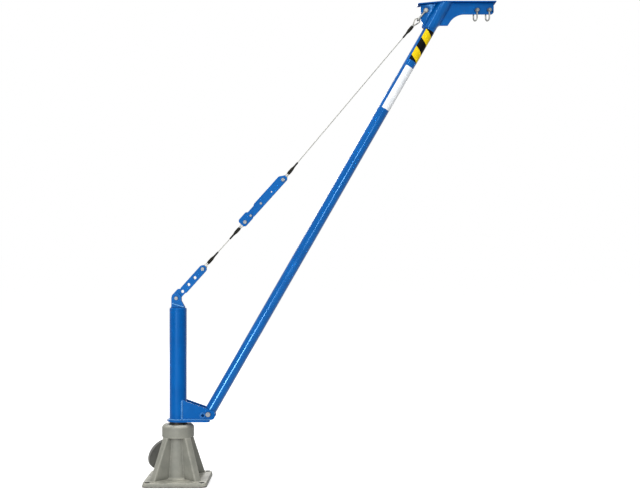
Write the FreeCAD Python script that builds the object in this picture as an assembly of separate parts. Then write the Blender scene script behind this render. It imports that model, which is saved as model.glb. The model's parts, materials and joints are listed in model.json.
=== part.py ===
import FreeCAD, Part
import math
import os

# Davit crane in millimetres. +Z is up, the boom points along +X and the origin lies on the floor
# under the mast axis. A cast floor socket carries a slewing mast, the boom is pinned to the foot of
# the mast, and a stay of links and wire rope holds the head of the boom.

# Fits
RUNNING_GAP = 0.05        # radial, pins and spigot in their bores
SEAT_GAP = 0.3            # between pieces that lie on each other and move
BOLT_GAP = 1.0            # radial, bolts in clamped holes

# Floor socket casting
PLATE_SIDE = 330.0
PLATE_THICKNESS = 22.0
PLATE_LOWER_STEP = 11.0   # height of the wider lower edge
PLATE_INSET = 2.5         # the upper edge stands back by this
PLATE_CORNER = 25.0
FLOOR_BOLT_SPACING = 280.0
FLOOR_BOLT_HOLE = 22.0
BARREL_FOOT_RADIUS = 76.0
BARREL_TOP_RADIUS = 58.0
BARREL_FILLET = 18.0
COLLAR_RADIUS = 83.0
COLLAR_BOTTOM = 233.0
COLLAR_TOP = 300.0
COLLAR_ROUNDING = 20.0
RIB_THICKNESS = 38.0
RIB_TOP_RADIUS = 85.0
RIB_FOOT_RADIUS = 168.0
RIB_EDGE = 4.0
SOCKET_FLOOR = 30.0
DRAIN_DIAMETER = 30.0

# Bushes, spigot and thrust washer
SPIGOT_DIAMETER = 76.1
SPIGOT_WALL = 5.0
SPIGOT_END = 45.0         # height of its lower end
SPIGOT_GRIP = 120.0       # length inside the mast tube
BUSH_WALL = 6.9
UPPER_BUSH_LENGTH = 60.0
LOWER_BUSH_LENGTH = 40.0
LOWER_BUSH_SEAT = 60.0
WASHER_WIDTH = 6.5
WASHER_THICKNESS = 14.0

# Dust cap of the socket, leaning on the rear left rib
CAP_AZIMUTH = 135.0
CAP_RADIUS = 86.0
CAP_THICKNESS = 4.0
CAP_SKIRT = 10.0
CAP_DROP = 120.0          # from the top of the rib down its slope to the cap's centre
CAP_PIN_DIAMETER = 8.0
CAP_PIN_OFFSET = 12.0     # of both pins from the face of the rib
COLLAR_PIN_RISE = 8.0     # of the upper pin above the top of the rib, along the slope
CAP_LINK_LENGTH = 32.0
CAP_LINK_WIDTH = 14.0
CAP_LINK_DEPTH = 12.0
CAP_EAR = 6.0             # thickness of each ear beside the link

# Mast
MAST_DIAMETER = 88.9
MAST_WALL = 6.3
MAST_LENGTH = 566.0
FOOT_PLATE_THICKNESS = 10.0
FOOT_PLATE_RADIUS = 57.0
FOOT_PLATE_REACH = 168.0
FOOT_PLATE_HALF_WIDTH = 54.0
FOOT_PLATE_CORNER = 14.0
TOP_PLATE_THICKNESS = 16.0
TOP_PLATE_ROUNDING = 9.0

# Bracket that carries the foot of the boom
BRACKET_THICKNESS = 6.0
BRACKET_SIDE_GAP = 0.85   # between boom tube and bracket plate
BRACKET_TOP = 113.0       # height of its sloping edge at the mast axis, above the foot plate
BRACKET_SHOULDER = 59.4   # height where its slope turns down to the nose
BRACKET_SHOULDER_BACK = 9.5
BRACKET_CHIN = 14.0       # height of the nose's upper corner above the boom pin
BRACKET_NOSE = 35.0       # reach past the boom pin
BRACKET_NOSE_CORNER = 20.0
BOOM_PIN_X = 160.0
BOOM_PIN_HEIGHT = 28.7    # above the foot plate
BOOM_PIN_DIAMETER = 16.0
LOCK_HOLE_BACK = 28.0     # from the boom pin towards the mast
LOCK_HOLE_DROP = 5.7
LOCK_HOLE = 15.0
LOCK_BOSS_DIAMETER = 31.0
LOCK_BOSS_HEIGHT = 4.0

# Mast head
STAY_PIN_X = -8.0
STAY_PIN_RISE = 48.0      # above the closing plate
STAY_PIN_DIAMETER = 12.0
LUG_THICKNESS = 8.0
LUG_RADIUS = 26.0
LUG_SIDE_GAP = 0.5
LUG_SHOULDER = 13.0       # below the pin, where the front edge starts to widen
LUG_FOOT_BACK = 35.5
LUG_FOOT_FRONT = 37.0
RAIN_COVER_THICKNESS = 5.0
RAIN_COVER_HALF_WIDTH = 23.0
RAIN_COVER_BACK = 24.0    # height of its upper edge above the closing plate
RAIN_COVER_FRONT = 5.5

# Boom
BOOM_DIAMETER = 60.3
BOOM_WALL = 5.0
BOOM_LENGTH = 2445.0      # from the boom pin to the middle of the head
BOOM_CUT = 4.0            # the tube ends this far below the middle of the head
BOOM_TAIL = 8.0           # below the boom pin
BOOM_ANGLE = 60.1
BOOM_BUSH_DIAMETER = 26.0

# Boom head, measured from its middle on the boom's axis
CHEEK_THICKNESS = 5.0
SWAGE_GAP = 0.2
SWAGE_FILLET = 8.0        # where the swage over the boom runs out into the flat cheek
HEAD_BACK = 113.0
HEAD_FRONT = 268.0
HEAD_TOP = 20.0           # underside of the lips
WING_DEPTH = 69.0         # depth of the back wing
WING_CORNER = 10.0
NOTCH_BACK = 102.0        # where the edge steps in below the wing
NOTCH_DEPTH = 84.0
NOTCH_CORNER = 8.0
HEEL_BACK = 109.0         # lower corner on the back of the boom
HEEL_DEPTH = 109.0
HEEL_CORNER = 5.0
TOE_BACK = 39.0           # lower corner on the front of the boom
TOE_DEPTH = 115.0
TOE_CORNER = 3.0
HEAD_STEP = 97.0          # depth of the short flat below the throat
HEAD_STEP_BACK = 17.0
HEAD_STEP_END = 28.0
NOSE_DEPTH = 38.0
NOSE_CORNER = 16.0
THROAT_RADIUS = 90.0
THROAT_START = 66.0
LIP_THICKNESS = 6.0
LIP_WIDTH = 38.0
LIP_BACK = 17.0           # overhang past the back wing
LIP_FRONT = 9.0
LIP_SLOPE_DROP = 12.0     # the lip's back end slopes down by this
PRESS_HOLE_X = 115.0
PRESS_HOLE_DEPTH = 21.0
PRESS_HOLE = 8.0

# Anchor shackles under the nose
ANCHOR_X = (172.0, 236.0)
ANCHOR_DEPTH = 14.0
ANCHOR_HOLE = 18.0
ANCHOR_BAR = 8.0
ANCHOR_INSIDE = 26.0
ANCHOR_REACH = 54.0       # from the pin to the bar's centre at the crown
ANCHOR_PIN = 10.0
ANCHOR_EYE = 20.0
ANCHOR_YAW = 26.0
ANCHOR_SAG = 2.5          # of the tilted pin below the centre of its hole

# Stay shackle at the back wing
STAY_BOLT_X = -87.0
STAY_BOLT_DEPTH = 19.0
STAY_BOLT = 12.0
STAY_BAR = 10.0
STAY_INSIDE = 16.0
STAY_REACH = 65.0
STAY_EYE = 24.0

# Lower link of the stay, measured along the stay from its pin on the mast
STAY_ANGLE = 48.0
STRAP_THICKNESS = 12.0
STRAP_BACK = 22.0         # behind the pin
STRAP_TOP = 28.0          # upper edge above the pin line
STRAP_BOTTOM = 16.0
STRAP_HEEL = 7.0          # the upper edge starts this far behind the pin
STRAP_NECK = 40.0         # where it narrows to the width of the link
STRAP_END = 77.0
STRAP_EDGE = 4.0          # rounding of its corners
LINK_START = 52.0
LINK_WIDTH = 40.0
LINK_THICKNESS = 6.0
LINK_PITCH = 48.0
LINK_ROPE_PIN = 205.0
LINK_HOLE = 16.0
LINK_BOLT = 12.0
LINK_SPACER_AT = 174.0
LINK_SPACER_SIZE = 12.0

# Adjuster of the stay
SHORT_ROPE_SPAN = 329.0   # pin to pin
ADJUSTER_LENGTH = 296.6   # pin to pin, at its shortest
ADJUSTER_TRAVEL = 82.0
ADJUSTER_PITCH = 82.0     # between the two clamping holes
ADJUSTER_STRAP = 5.0
ADJUSTER_STRAP_GAP = 10.0
STRAP_HEAD_BACK = 22.0    # head of the straps before their rope pin
STRAP_HEAD_END = 40.0
STRAP_HEAD_LOW = 18.0
STRAP_HEAD_HIGH = 32.0
STRAP_LOW = 15.0          # below the pin line, inside the channel
STRAP_BEND = 3.0
STRAP_CORNER = 8.0
ADJUSTER_CORNER = 14.0
STRAP_LENGTH = 222.0      # from the rope pin
STRAP_BOLT_AT = 45.0
STRAP_BOLT = 8.0
CHANNEL_SIDE_GAP = 0.5
CHANNEL_WALL = 5.0
CHANNEL_LOW = 16.0
CHANNEL_HIGH = 29.0
CHANNEL_START = 48.0      # from the lower rope pin
CHANNEL_MOUTH = 54.0      # length of the round slant at its lower end
CHANNEL_MOUTH_BEND = 16.0
CHANNEL_MOUTH_LINE = 6.0  # height of the slant's bend above the pin line
CHANNEL_MOUTH_RADIUS = 20.0
CHANNEL_END = 24.0        # past the upper rope pin
CHANNEL_SLANT = 27.0      # length of the slant at its upper end
CHANNEL_TIP = 8.0         # height where that slant ends, above the pin line
CHANNEL_BEND = 6.0
CLAMP_AT = 128.0          # from the lower rope pin
CLAMP_LINE = 3.0          # of the clamping holes above the pin line
CLAMP_BOLT = 8.0
ROPE_PIN_SPACER = 24.0    # diameter

# Wire rope with thimbles, ferrules and sleeves
ROPE_DIAMETER = 5.0
THIMBLE_INSIDE = 9.5      # radius
THIMBLE_WALL = 2.2
THIMBLE_WIDTH = 8.4
THIMBLE_LIP = 0.5         # of its cheeks past the middle of the rope
EYE_LENGTH = 34.0         # from the centre of the eye to the ferrule
EYE_SLACK = 0.3           # between pin and thimble
BOW_SLACK = 1.2           # between the stay shackle's bow and the thimble
FERRULE_DIAMETER = 14.0
FERRULE_LENGTH = 36.0
SLEEVE_DIAMETER = 18.0
SLEEVE_LENGTH = 46.0
SLEEVE_TAPER = 10.0
SLEEVE_TAIL_DIAMETER = 9.4
SLEEVE_TAIL = 26.0

# Proportions of hex bolts, as shares of the thread
HEX_FLATS = 1.5
HEX_HEAD = 0.65
HEX_NUT = 0.8
HEX_TIP = 0.2

TINY = 1e-6
CLEAR_THROUGH = 100.0     # half length of a drill that passes right through
V = FreeCAD.Vector
ORIGIN = V(0, 0, 0)
Y_AXIS = V(0, 1, 0)
Z_AXIS = V(0, 0, 1)
FRONT = -1
REAR = 1


def xz(x, z):
    return V(x, 0, z)


def turned(angle):
    """Unit vector in the XZ plane, at an angle above +X."""
    return xz(math.cos(math.radians(angle)), math.sin(math.radians(angle)))


def square_to(direction):
    """Direction turned a quarter, from +X towards +Z."""
    return xz(-direction.z, direction.x)


# Heights and points that follow from the sizes
FOOT_PLATE_BOTTOM = COLLAR_TOP + WASHER_THICKNESS
FOOT_PLATE_TOP = FOOT_PLATE_BOTTOM + FOOT_PLATE_THICKNESS
MAST_TOP = FOOT_PLATE_TOP + MAST_LENGTH
HEAD_PLATE_TOP = MAST_TOP + TOP_PLATE_THICKNESS
SPIGOT_RADIUS = SPIGOT_DIAMETER / 2
BUSH_BORE = SPIGOT_RADIUS + RUNNING_GAP
BUSH_RADIUS = BUSH_BORE + BUSH_WALL
MAST_RADIUS = MAST_DIAMETER / 2
BOOM_RADIUS = BOOM_DIAMETER / 2
BRACKET_INSIDE = BOOM_RADIUS + BRACKET_SIDE_GAP
BRACKET_OUTSIDE = BRACKET_INSIDE + BRACKET_THICKNESS
BOOM_PIN_POINT = xz(BOOM_PIN_X, FOOT_PLATE_TOP + BOOM_PIN_HEIGHT)
BOOM_AXIS = turned(BOOM_ANGLE)
BOOM_END = BOOM_PIN_POINT + BOOM_AXIS * BOOM_LENGTH
STAY_PIN_POINT = xz(STAY_PIN_X, HEAD_PLATE_TOP + STAY_PIN_RISE)
STAY_AXIS = turned(STAY_ANGLE)
STAY_UP = square_to(STAY_AXIS)
LOWER_ROPE_PIN = LINK_ROPE_PIN + SHORT_ROPE_SPAN
UPPER_ROPE_PIN = LOWER_ROPE_PIN + ADJUSTER_LENGTH
LUG_INSIDE = STRAP_THICKNESS / 2 + LUG_SIDE_GAP
LUG_OUTSIDE = LUG_INSIDE + LUG_THICKNESS
LINK_INSIDE = STRAP_THICKNESS / 2
LINK_OUTSIDE = LINK_INSIDE + LINK_THICKNESS
ADJUSTER_INSIDE = ADJUSTER_STRAP_GAP / 2
ADJUSTER_OUTSIDE = ADJUSTER_INSIDE + ADJUSTER_STRAP
CHANNEL_INSIDE = ADJUSTER_OUTSIDE + CHANNEL_SIDE_GAP
CHANNEL_OUTSIDE = CHANNEL_INSIDE + CHANNEL_WALL
RIB_SLOPE = math.atan2(RIB_FOOT_RADIUS - RIB_TOP_RADIUS, COLLAR_BOTTOM - PLATE_THICKNESS)


# Basic forms

def round_bar(radius, start, end):
    return Part.makeCylinder(radius, (end - start).Length, start, end - start)


def taper(start_radius, end_radius, start, end):
    return Part.makeCone(start_radius, end_radius, (end - start).Length, start, end - start)


def pipe(outer, inner, start, end):
    return round_bar(outer, start, end).cut(round_bar(inner, start, end))


def cross_bar(point, radius, near, far):
    """Round bar along Y through a point of the XZ plane."""
    return round_bar(radius, V(point.x, near, point.z), V(point.x, far, point.z))


def drill(point, radius):
    """Hole along Y, right through."""
    return cross_bar(point, radius, -CLEAR_THROUGH, CLEAR_THROUGH)


def face(corners):
    """Flat face whose corners are points, each with the radius that rounds it."""
    points = [point for point, radius in corners]
    arcs = []
    for i, (point, radius) in enumerate(corners):
        back = (points[i - 1] - point).normalize()
        ahead = (points[(i + 1) % len(points)] - point).normalize()
        half = back.getAngle(ahead) / 2
        reach = radius / math.tan(half)
        middle = point + (back + ahead).normalize() * (radius / math.sin(half) - radius)
        arcs.append((point + back * reach, middle, point + ahead * reach))
    edges = []
    for i, (start, middle, end) in enumerate(arcs):
        following = arcs[(i + 1) % len(arcs)][0]
        if (end - start).Length > TINY:
            edges.append(Part.Arc(start, middle, end).toShape())
        if (following - end).Length > TINY:
            edges.append(Part.LineSegment(end, following).toShape())
    return Part.Face(Part.Wire(edges))


def plate(corners, near, far):
    """Upright plate between two values of Y."""
    outline = face(corners)
    outline.translate(V(0, near, 0))
    return outline.extrude(V(0, far - near, 0))


def slab(corners, bottom, top):
    """Level plate between two heights."""
    outline = face(corners)
    outline.translate(V(0, 0, bottom))
    return outline.extrude(V(0, 0, top - bottom))


def square_slab(side, corner, bottom, top):
    half = side / 2
    corners = [(V(half, half, 0), corner), (V(-half, half, 0), corner),
               (V(-half, -half, 0), corner), (V(half, -half, 0), corner)]
    return slab(corners, bottom, top)


def hexagon(point, flats, near, far):
    radius = flats / math.sqrt(3)
    return plate([(point + turned(60 * i) * radius, 0) for i in range(6)], near, far)


def hex_bolt(point, thread, front, rear):
    """Bolt along Y with its head against y = front, and the nut against y = rear."""
    nut_end = rear + HEX_NUT * thread
    head = hexagon(point, HEX_FLATS * thread, front - HEX_HEAD * thread, front)
    shank = cross_bar(point, thread / 2, front, nut_end + HEX_TIP * thread)
    nut = hexagon(point, HEX_FLATS * thread, rear, nut_end)
    nut = nut.cut(drill(point, thread / 2 + RUNNING_GAP))
    return head.fuse(shank).removeSplitter(), nut


def stay_point(along, above=0.0):
    """Point of the stay's own plane: along it from the mast pin, and square above it."""
    return STAY_PIN_POINT + STAY_AXIS * along + STAY_UP * above


def stay_plate(corners, near, far):
    return plate([(stay_point(along, above), radius) for along, above, radius in corners], near, far)


def stay_bar(start, end, width, near, far):
    """Bar with full round ends about the points start and end."""
    half = width / 2
    corners = [(start - half, -half, half), (end + half, -half, half),
               (end + half, half, half), (start - half, half, half)]
    return stay_plate(corners, near, far)


# Floor socket

def socket_rib(angle):
    foot = PLATE_LOWER_STEP
    foot_radius = RIB_FOOT_RADIUS + (PLATE_THICKNESS - foot) * math.tan(RIB_SLOPE)
    corners = [(xz(BUSH_RADIUS + RIB_EDGE, foot), 0), (xz(foot_radius, foot), 0),
               (xz(RIB_TOP_RADIUS, COLLAR_BOTTOM), 0), (xz(BUSH_RADIUS + RIB_EDGE, COLLAR_BOTTOM), 0)]
    rib = plate(corners, -RIB_THICKNESS / 2, RIB_THICKNESS / 2)
    outer = [edge for edge in rib.Edges if edge.BoundBox.ZLength > TINY and edge.BoundBox.XLength > TINY
             and edge.BoundBox.YLength < TINY]
    rib = rib.makeFillet(RIB_EDGE, outer)
    rib.rotate(ORIGIN, Z_AXIS, angle)
    return rib


def slope_point(down, out):
    """Point in a rib's radial plane: down its slope from the top, and out from its face."""
    return xz(RIB_TOP_RADIUS + down * math.sin(RIB_SLOPE) + out * math.cos(RIB_SLOPE),
              COLLAR_BOTTOM - down * math.cos(RIB_SLOPE) + out * math.sin(RIB_SLOPE))


COLLAR_PIN = slope_point(-COLLAR_PIN_RISE, CAP_PIN_OFFSET)
CAP_PIN = slope_point(CAP_LINK_LENGTH - COLLAR_PIN_RISE, CAP_PIN_OFFSET)
EAR_INSIDE = CAP_LINK_WIDTH / 2 + SEAT_GAP
EAR_OUTSIDE = EAR_INSIDE + CAP_EAR
EAR_RADIUS = CAP_PIN_DIAMETER


def at_cap(shape):
    """Turn a shape from the XZ plane to the rib that the cap leans on."""
    shape.rotate(ORIGIN, Z_AXIS, CAP_AZIMUTH)
    return shape


def collar_ear(side):
    root = COLLAR_RADIUS - EAR_RADIUS
    tip = COLLAR_PIN.x + EAR_RADIUS
    corners = [(xz(root, COLLAR_PIN.z - EAR_RADIUS), 0), (xz(tip, COLLAR_PIN.z - EAR_RADIUS), EAR_RADIUS),
               (xz(tip, COLLAR_PIN.z + EAR_RADIUS), EAR_RADIUS), (xz(root, COLLAR_PIN.z + EAR_RADIUS), 0)]
    ear = plate(corners, side * EAR_INSIDE, side * EAR_OUTSIDE)
    return at_cap(ear.cut(drill(COLLAR_PIN, CAP_PIN_DIAMETER / 2 + RUNNING_GAP)))


def base_casting():
    spread = BARREL_FOOT_RADIUS + 2 * BARREL_FILLET
    profile = [(xz(0, PLATE_LOWER_STEP), 0), (xz(spread, PLATE_LOWER_STEP), 0),
               (xz(spread, PLATE_THICKNESS), 0), (xz(BARREL_FOOT_RADIUS, PLATE_THICKNESS), BARREL_FILLET),
               (xz(BARREL_TOP_RADIUS, COLLAR_BOTTOM), 0), (xz(COLLAR_RADIUS, COLLAR_BOTTOM), RIB_EDGE),
               (xz(COLLAR_RADIUS, COLLAR_TOP), COLLAR_ROUNDING), (xz(0, COLLAR_TOP), 0)]
    casting = face(profile).revolve(ORIGIN, Z_AXIS, 360)
    casting = casting.fuse(square_slab(PLATE_SIDE, PLATE_CORNER, 0, PLATE_LOWER_STEP))
    upper_side = PLATE_SIDE - 2 * PLATE_INSET
    casting = casting.fuse(square_slab(upper_side, PLATE_CORNER, PLATE_LOWER_STEP, PLATE_THICKNESS))
    for quarter in range(4):
        casting = casting.fuse(socket_rib(45 + 90 * quarter))
    for side in (FRONT, REAR):
        casting = casting.fuse(collar_ear(side))
    ledge = BUSH_RADIUS - BUSH_WALL / 2
    casting = casting.cut(round_bar(BUSH_RADIUS + RUNNING_GAP, xz(0, LOWER_BUSH_SEAT), xz(0, COLLAR_TOP)))
    casting = casting.cut(round_bar(ledge, xz(0, SOCKET_FLOOR), xz(0, LOWER_BUSH_SEAT)))
    casting = casting.cut(round_bar(DRAIN_DIAMETER / 2, ORIGIN, xz(0, SOCKET_FLOOR)))
    half = FLOOR_BOLT_SPACING / 2
    for x in (-half, half):
        for y in (-half, half):
            hole = round_bar(FLOOR_BOLT_HOLE / 2, V(x, y, 0), V(x, y, PLATE_THICKNESS))
            casting = casting.cut(hole)
    return casting.removeSplitter()


def upper_bush():
    return pipe(BUSH_RADIUS, BUSH_BORE, xz(0, COLLAR_TOP - UPPER_BUSH_LENGTH), xz(0, COLLAR_TOP))


def lower_bush():
    return pipe(BUSH_RADIUS, BUSH_BORE, xz(0, LOWER_BUSH_SEAT), xz(0, LOWER_BUSH_SEAT + LOWER_BUSH_LENGTH))


def thrust_washer():
    bore = SPIGOT_RADIUS + SEAT_GAP
    return pipe(bore + WASHER_WIDTH, bore, xz(0, COLLAR_TOP), xz(0, FOOT_PLATE_BOTTOM))


# Dust cap

def cap_hinge_pin(point):
    return at_cap(cross_bar(point, CAP_PIN_DIAMETER / 2, -EAR_OUTSIDE, EAR_OUTSIDE))


def cap_link():
    half = CAP_LINK_DEPTH / 2
    start = half + COLLAR_PIN_RISE
    end = CAP_LINK_LENGTH - COLLAR_PIN_RISE + half
    low, high = CAP_PIN_OFFSET - half, CAP_PIN_OFFSET + half
    corners = [(slope_point(-start, low), half), (slope_point(end, low), half),
               (slope_point(end, high), half), (slope_point(-start, high), half)]
    link = plate(corners, -CAP_LINK_WIDTH / 2, CAP_LINK_WIDTH / 2)
    for point in (COLLAR_PIN, CAP_PIN):
        link = link.cut(drill(point, CAP_PIN_DIAMETER / 2 + RUNNING_GAP))
    return at_cap(link)


def cap_ear(side):
    root = CAP_DROP - CAP_RADIUS + CAP_EAR
    tip = CAP_LINK_LENGTH - COLLAR_PIN_RISE - EAR_RADIUS
    low = CAP_PIN_OFFSET - EAR_RADIUS
    high = CAP_PIN_OFFSET + EAR_RADIUS
    corners = [(slope_point(root, low), 0), (slope_point(root, high), 0),
               (slope_point(tip, high), EAR_RADIUS), (slope_point(tip, low), EAR_RADIUS)]
    ear = plate(corners, side * EAR_INSIDE, side * EAR_OUTSIDE)
    return ear.cut(drill(CAP_PIN, CAP_PIN_DIAMETER / 2 + RUNNING_GAP))


def socket_cap():
    inner = slope_point(CAP_DROP, SEAT_GAP)
    floor = slope_point(CAP_DROP, SEAT_GAP + CAP_THICKNESS)
    rim = slope_point(CAP_DROP, SEAT_GAP + CAP_THICKNESS + CAP_SKIRT)
    cap = round_bar(CAP_RADIUS, inner, rim).cut(round_bar(CAP_RADIUS - CAP_THICKNESS, floor, rim))
    for side in (FRONT, REAR):
        cap = cap.fuse(cap_ear(side).cut(round_bar(CAP_RADIUS - CAP_THICKNESS, floor, rim)))
    return at_cap(cap.removeSplitter())


# Mast

def mast_tube():
    return pipe(MAST_RADIUS, MAST_RADIUS - MAST_WALL, xz(0, FOOT_PLATE_TOP), xz(0, MAST_TOP))


def spigot_tube():
    top = xz(0, FOOT_PLATE_TOP + SPIGOT_GRIP)
    return pipe(SPIGOT_RADIUS, SPIGOT_RADIUS - SPIGOT_WALL, xz(0, SPIGOT_END), top)


def foot_plate():
    half = FOOT_PLATE_HALF_WIDTH
    corners = [(V(0, -FOOT_PLATE_RADIUS, 0), 0), (V(BOOM_PIN_X - half, -half, 0), 0),
               (V(FOOT_PLATE_REACH, -half, 0), FOOT_PLATE_CORNER),
               (V(FOOT_PLATE_REACH, half, 0), FOOT_PLATE_CORNER),
               (V(BOOM_PIN_X - half, half, 0), 0), (V(0, FOOT_PLATE_RADIUS, 0), 0)]
    tongue = slab(corners, FOOT_PLATE_BOTTOM, FOOT_PLATE_TOP)
    disc = round_bar(FOOT_PLATE_RADIUS, xz(0, FOOT_PLATE_BOTTOM), xz(0, FOOT_PLATE_TOP))
    hole = round_bar(SPIGOT_RADIUS + RUNNING_GAP, xz(0, FOOT_PLATE_BOTTOM), xz(0, FOOT_PLATE_TOP))
    return disc.fuse(tongue).cut(hole).removeSplitter()


LOCK_POINT = BOOM_PIN_POINT - xz(LOCK_HOLE_BACK, LOCK_HOLE_DROP)


BRACKET_SHOULDER_X = BOOM_PIN_X - BRACKET_SHOULDER_BACK
BRACKET_FALL = (BRACKET_TOP - BRACKET_SHOULDER) / BRACKET_SHOULDER_X


def bracket_edge(x):
    """Point of the bracket's sloping upper edge."""
    return xz(x, FOOT_PLATE_TOP + BRACKET_TOP - BRACKET_FALL * x)


def welded_to_mast(shape):
    """The part of a shape in front of the mast, cut to lie against its tube."""
    mast = round_bar(MAST_RADIUS + RUNNING_GAP, xz(0, FOOT_PLATE_BOTTOM), xz(0, MAST_TOP))
    return max(shape.cut(mast).Solids, key=lambda solid: solid.BoundBox.XMax)


def foot_side_plate(side):
    tip = BOOM_PIN_X + BRACKET_NOSE
    corners = [(xz(0, FOOT_PLATE_TOP), 0), (xz(tip, FOOT_PLATE_TOP), BRACKET_NOSE_CORNER),
               (xz(tip, BOOM_PIN_POINT.z + BRACKET_CHIN), BRACKET_CHIN),
               (bracket_edge(BRACKET_SHOULDER_X), BRACKET_CHIN / 2), (bracket_edge(0), 0)]
    side_plate = welded_to_mast(plate(corners, side * BRACKET_INSIDE, side * BRACKET_OUTSIDE))
    side_plate = side_plate.cut(drill(LOCK_POINT, LOCK_HOLE / 2))
    return side_plate.cut(drill(BOOM_PIN_POINT, BOOM_PIN_DIAMETER / 2 + RUNNING_GAP))


def lock_boss(side):
    boss = cross_bar(LOCK_POINT, LOCK_BOSS_DIAMETER / 2, side * BRACKET_OUTSIDE,
                     side * (BRACKET_OUTSIDE + LOCK_BOSS_HEIGHT))
    room = HEX_FLATS * BOOM_PIN_DIAMETER + 2 * BOLT_GAP
    head_room = hexagon(BOOM_PIN_POINT, room, -CLEAR_THROUGH, CLEAR_THROUGH)
    return boss.cut(drill(LOCK_POINT, LOCK_HOLE / 2)).cut(head_room)


def mast_top_plate():
    cap = round_bar(MAST_RADIUS, xz(0, MAST_TOP), xz(0, HEAD_PLATE_TOP))
    rim = [edge for edge in cap.Edges if abs(edge.BoundBox.ZMin - HEAD_PLATE_TOP) < TINY]
    return cap.makeFillet(TOP_PLATE_ROUNDING, rim)


def mast_lug(side):
    left = STAY_PIN_POINT.x - LUG_RADIUS
    right = STAY_PIN_POINT.x + LUG_RADIUS
    top = STAY_PIN_POINT.z + LUG_RADIUS
    corners = [(xz(-LUG_FOOT_BACK, HEAD_PLATE_TOP), 0), (xz(LUG_FOOT_FRONT, HEAD_PLATE_TOP), 0),
               (xz(right, STAY_PIN_POINT.z - LUG_SHOULDER), LUG_SHOULDER / 2), (xz(right, top), LUG_RADIUS),
               (xz(left, top), LUG_RADIUS), (xz(left, HEAD_PLATE_TOP + LUG_THICKNESS), 0)]
    lug = plate(corners, side * LUG_INSIDE, side * LUG_OUTSIDE)
    return lug.cut(drill(STAY_PIN_POINT, STAY_PIN_DIAMETER / 2 + RUNNING_GAP))


def rain_cover(lugs):
    """Slanted cover over the closing plate, in the bays beside and between the two lugs."""
    drop = RAIN_COVER_THICKNESS
    back = xz(STAY_PIN_POINT.x - LUG_RADIUS + drop, HEAD_PLATE_TOP + RAIN_COVER_BACK)
    front = xz(LUG_FOOT_FRONT - drop, HEAD_PLATE_TOP + RAIN_COVER_FRONT)
    corners = [(back, 0), (front, 0), (front - xz(0, drop), 0), (back - xz(0, drop), 0)]
    cover = plate(corners, -RAIN_COVER_HALF_WIDTH, RAIN_COVER_HALF_WIDTH)
    for lug in lugs:
        cover = cover.cut(lug)
    return cover


# Boom

def boom_tube():
    start = BOOM_PIN_POINT - BOOM_AXIS * BOOM_TAIL
    end = BOOM_END - BOOM_AXIS * BOOM_CUT
    tube = pipe(BOOM_RADIUS, BOOM_RADIUS - BOOM_WALL, start, end)
    return tube.cut(drill(BOOM_PIN_POINT, BOOM_BUSH_DIAMETER / 2 + RUNNING_GAP))


def boom_foot_bush():
    end = BRACKET_INSIDE - SEAT_GAP
    bush = cross_bar(BOOM_PIN_POINT, BOOM_BUSH_DIAMETER / 2, -end, end)
    return bush.cut(drill(BOOM_PIN_POINT, BOOM_PIN_DIAMETER / 2 + RUNNING_GAP))


def head_point(x, z):
    return BOOM_END + xz(x, z)


STAY_BOLT_POINT = head_point(STAY_BOLT_X, -STAY_BOLT_DEPTH)
ANCHOR_POINTS = [head_point(x, -ANCHOR_DEPTH) for x in ANCHOR_X]


def head_outline():
    """Side view of a cheek, from the back of the lip round to the throat and the nose."""
    lip_middle = HEAD_TOP + LIP_THICKNESS / 2
    corners = [(-HEAD_BACK, lip_middle - LIP_SLOPE_DROP, 0), (-HEAD_BACK, -WING_DEPTH, WING_CORNER),
               (-NOTCH_BACK, -NOTCH_DEPTH, NOTCH_CORNER), (-HEEL_BACK, -HEEL_DEPTH, HEEL_CORNER),
               (-TOE_BACK, -TOE_DEPTH, TOE_CORNER), (-HEAD_STEP_BACK, -HEAD_STEP, NOSE_CORNER),
               (HEAD_STEP_END, -HEAD_STEP, TOE_CORNER),
               (THROAT_START, -NOSE_DEPTH, THROAT_RADIUS), (HEAD_FRONT, -NOSE_DEPTH, NOSE_CORNER),
               (HEAD_FRONT, lip_middle, 0), (0, lip_middle, 0)]
    return [(head_point(x, z), radius) for x, z, radius in corners]


def head_lip(side):
    back = -HEAD_BACK - LIP_BACK
    front = HEAD_FRONT + LIP_FRONT
    top = HEAD_TOP + LIP_THICKNESS
    corners = [(back, HEAD_TOP - LIP_SLOPE_DROP), (0, HEAD_TOP), (front, HEAD_TOP), (front, top),
               (0, top), (back, top - LIP_SLOPE_DROP)]
    return plate([(head_point(x, z), 0) for x, z in corners], 0, side * LIP_WIDTH)


def head_cheek(side):
    bore = BOOM_RADIUS + SWAGE_GAP
    below = BOOM_END - BOOM_AXIS * (HEAD_BACK + TOE_DEPTH)
    above = BOOM_END + BOOM_AXIS * HEAD_BACK
    bulge = round_bar(bore + CHEEK_THICKNESS, below, above)
    bulge = bulge.common(plate(head_outline(), 0, side * CLEAR_THROUGH))
    cheek = plate(head_outline(), 0, side * CHEEK_THICKNESS).fuse(bulge)
    cheek = cheek.cut(round_bar(bore, below, above)).fuse(head_lip(side))
    cheek = cheek.cut(drill(STAY_BOLT_POINT, STAY_BOLT / 2 + RUNNING_GAP))
    for point in ANCHOR_POINTS:
        cheek = cheek.cut(drill(point, ANCHOR_HOLE / 2))
    cheek = cheek.cut(drill(head_point(PRESS_HOLE_X, -PRESS_HOLE_DEPTH), PRESS_HOLE / 2)).removeSplitter()

    def swage_root(edge):
        line = edge.Vertexes[-1].Point - edge.Vertexes[0].Point
        on_face = all(abs(abs(vertex.Point.y) - CHEEK_THICKNESS) < TINY for vertex in edge.Vertexes)
        return on_face and line.Length > TINY and line.cross(BOOM_AXIS).Length < TINY

    return cheek.makeFillet(SWAGE_FILLET, [edge for edge in cheek.Edges if swage_root(edge)])


# Shackles

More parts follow.
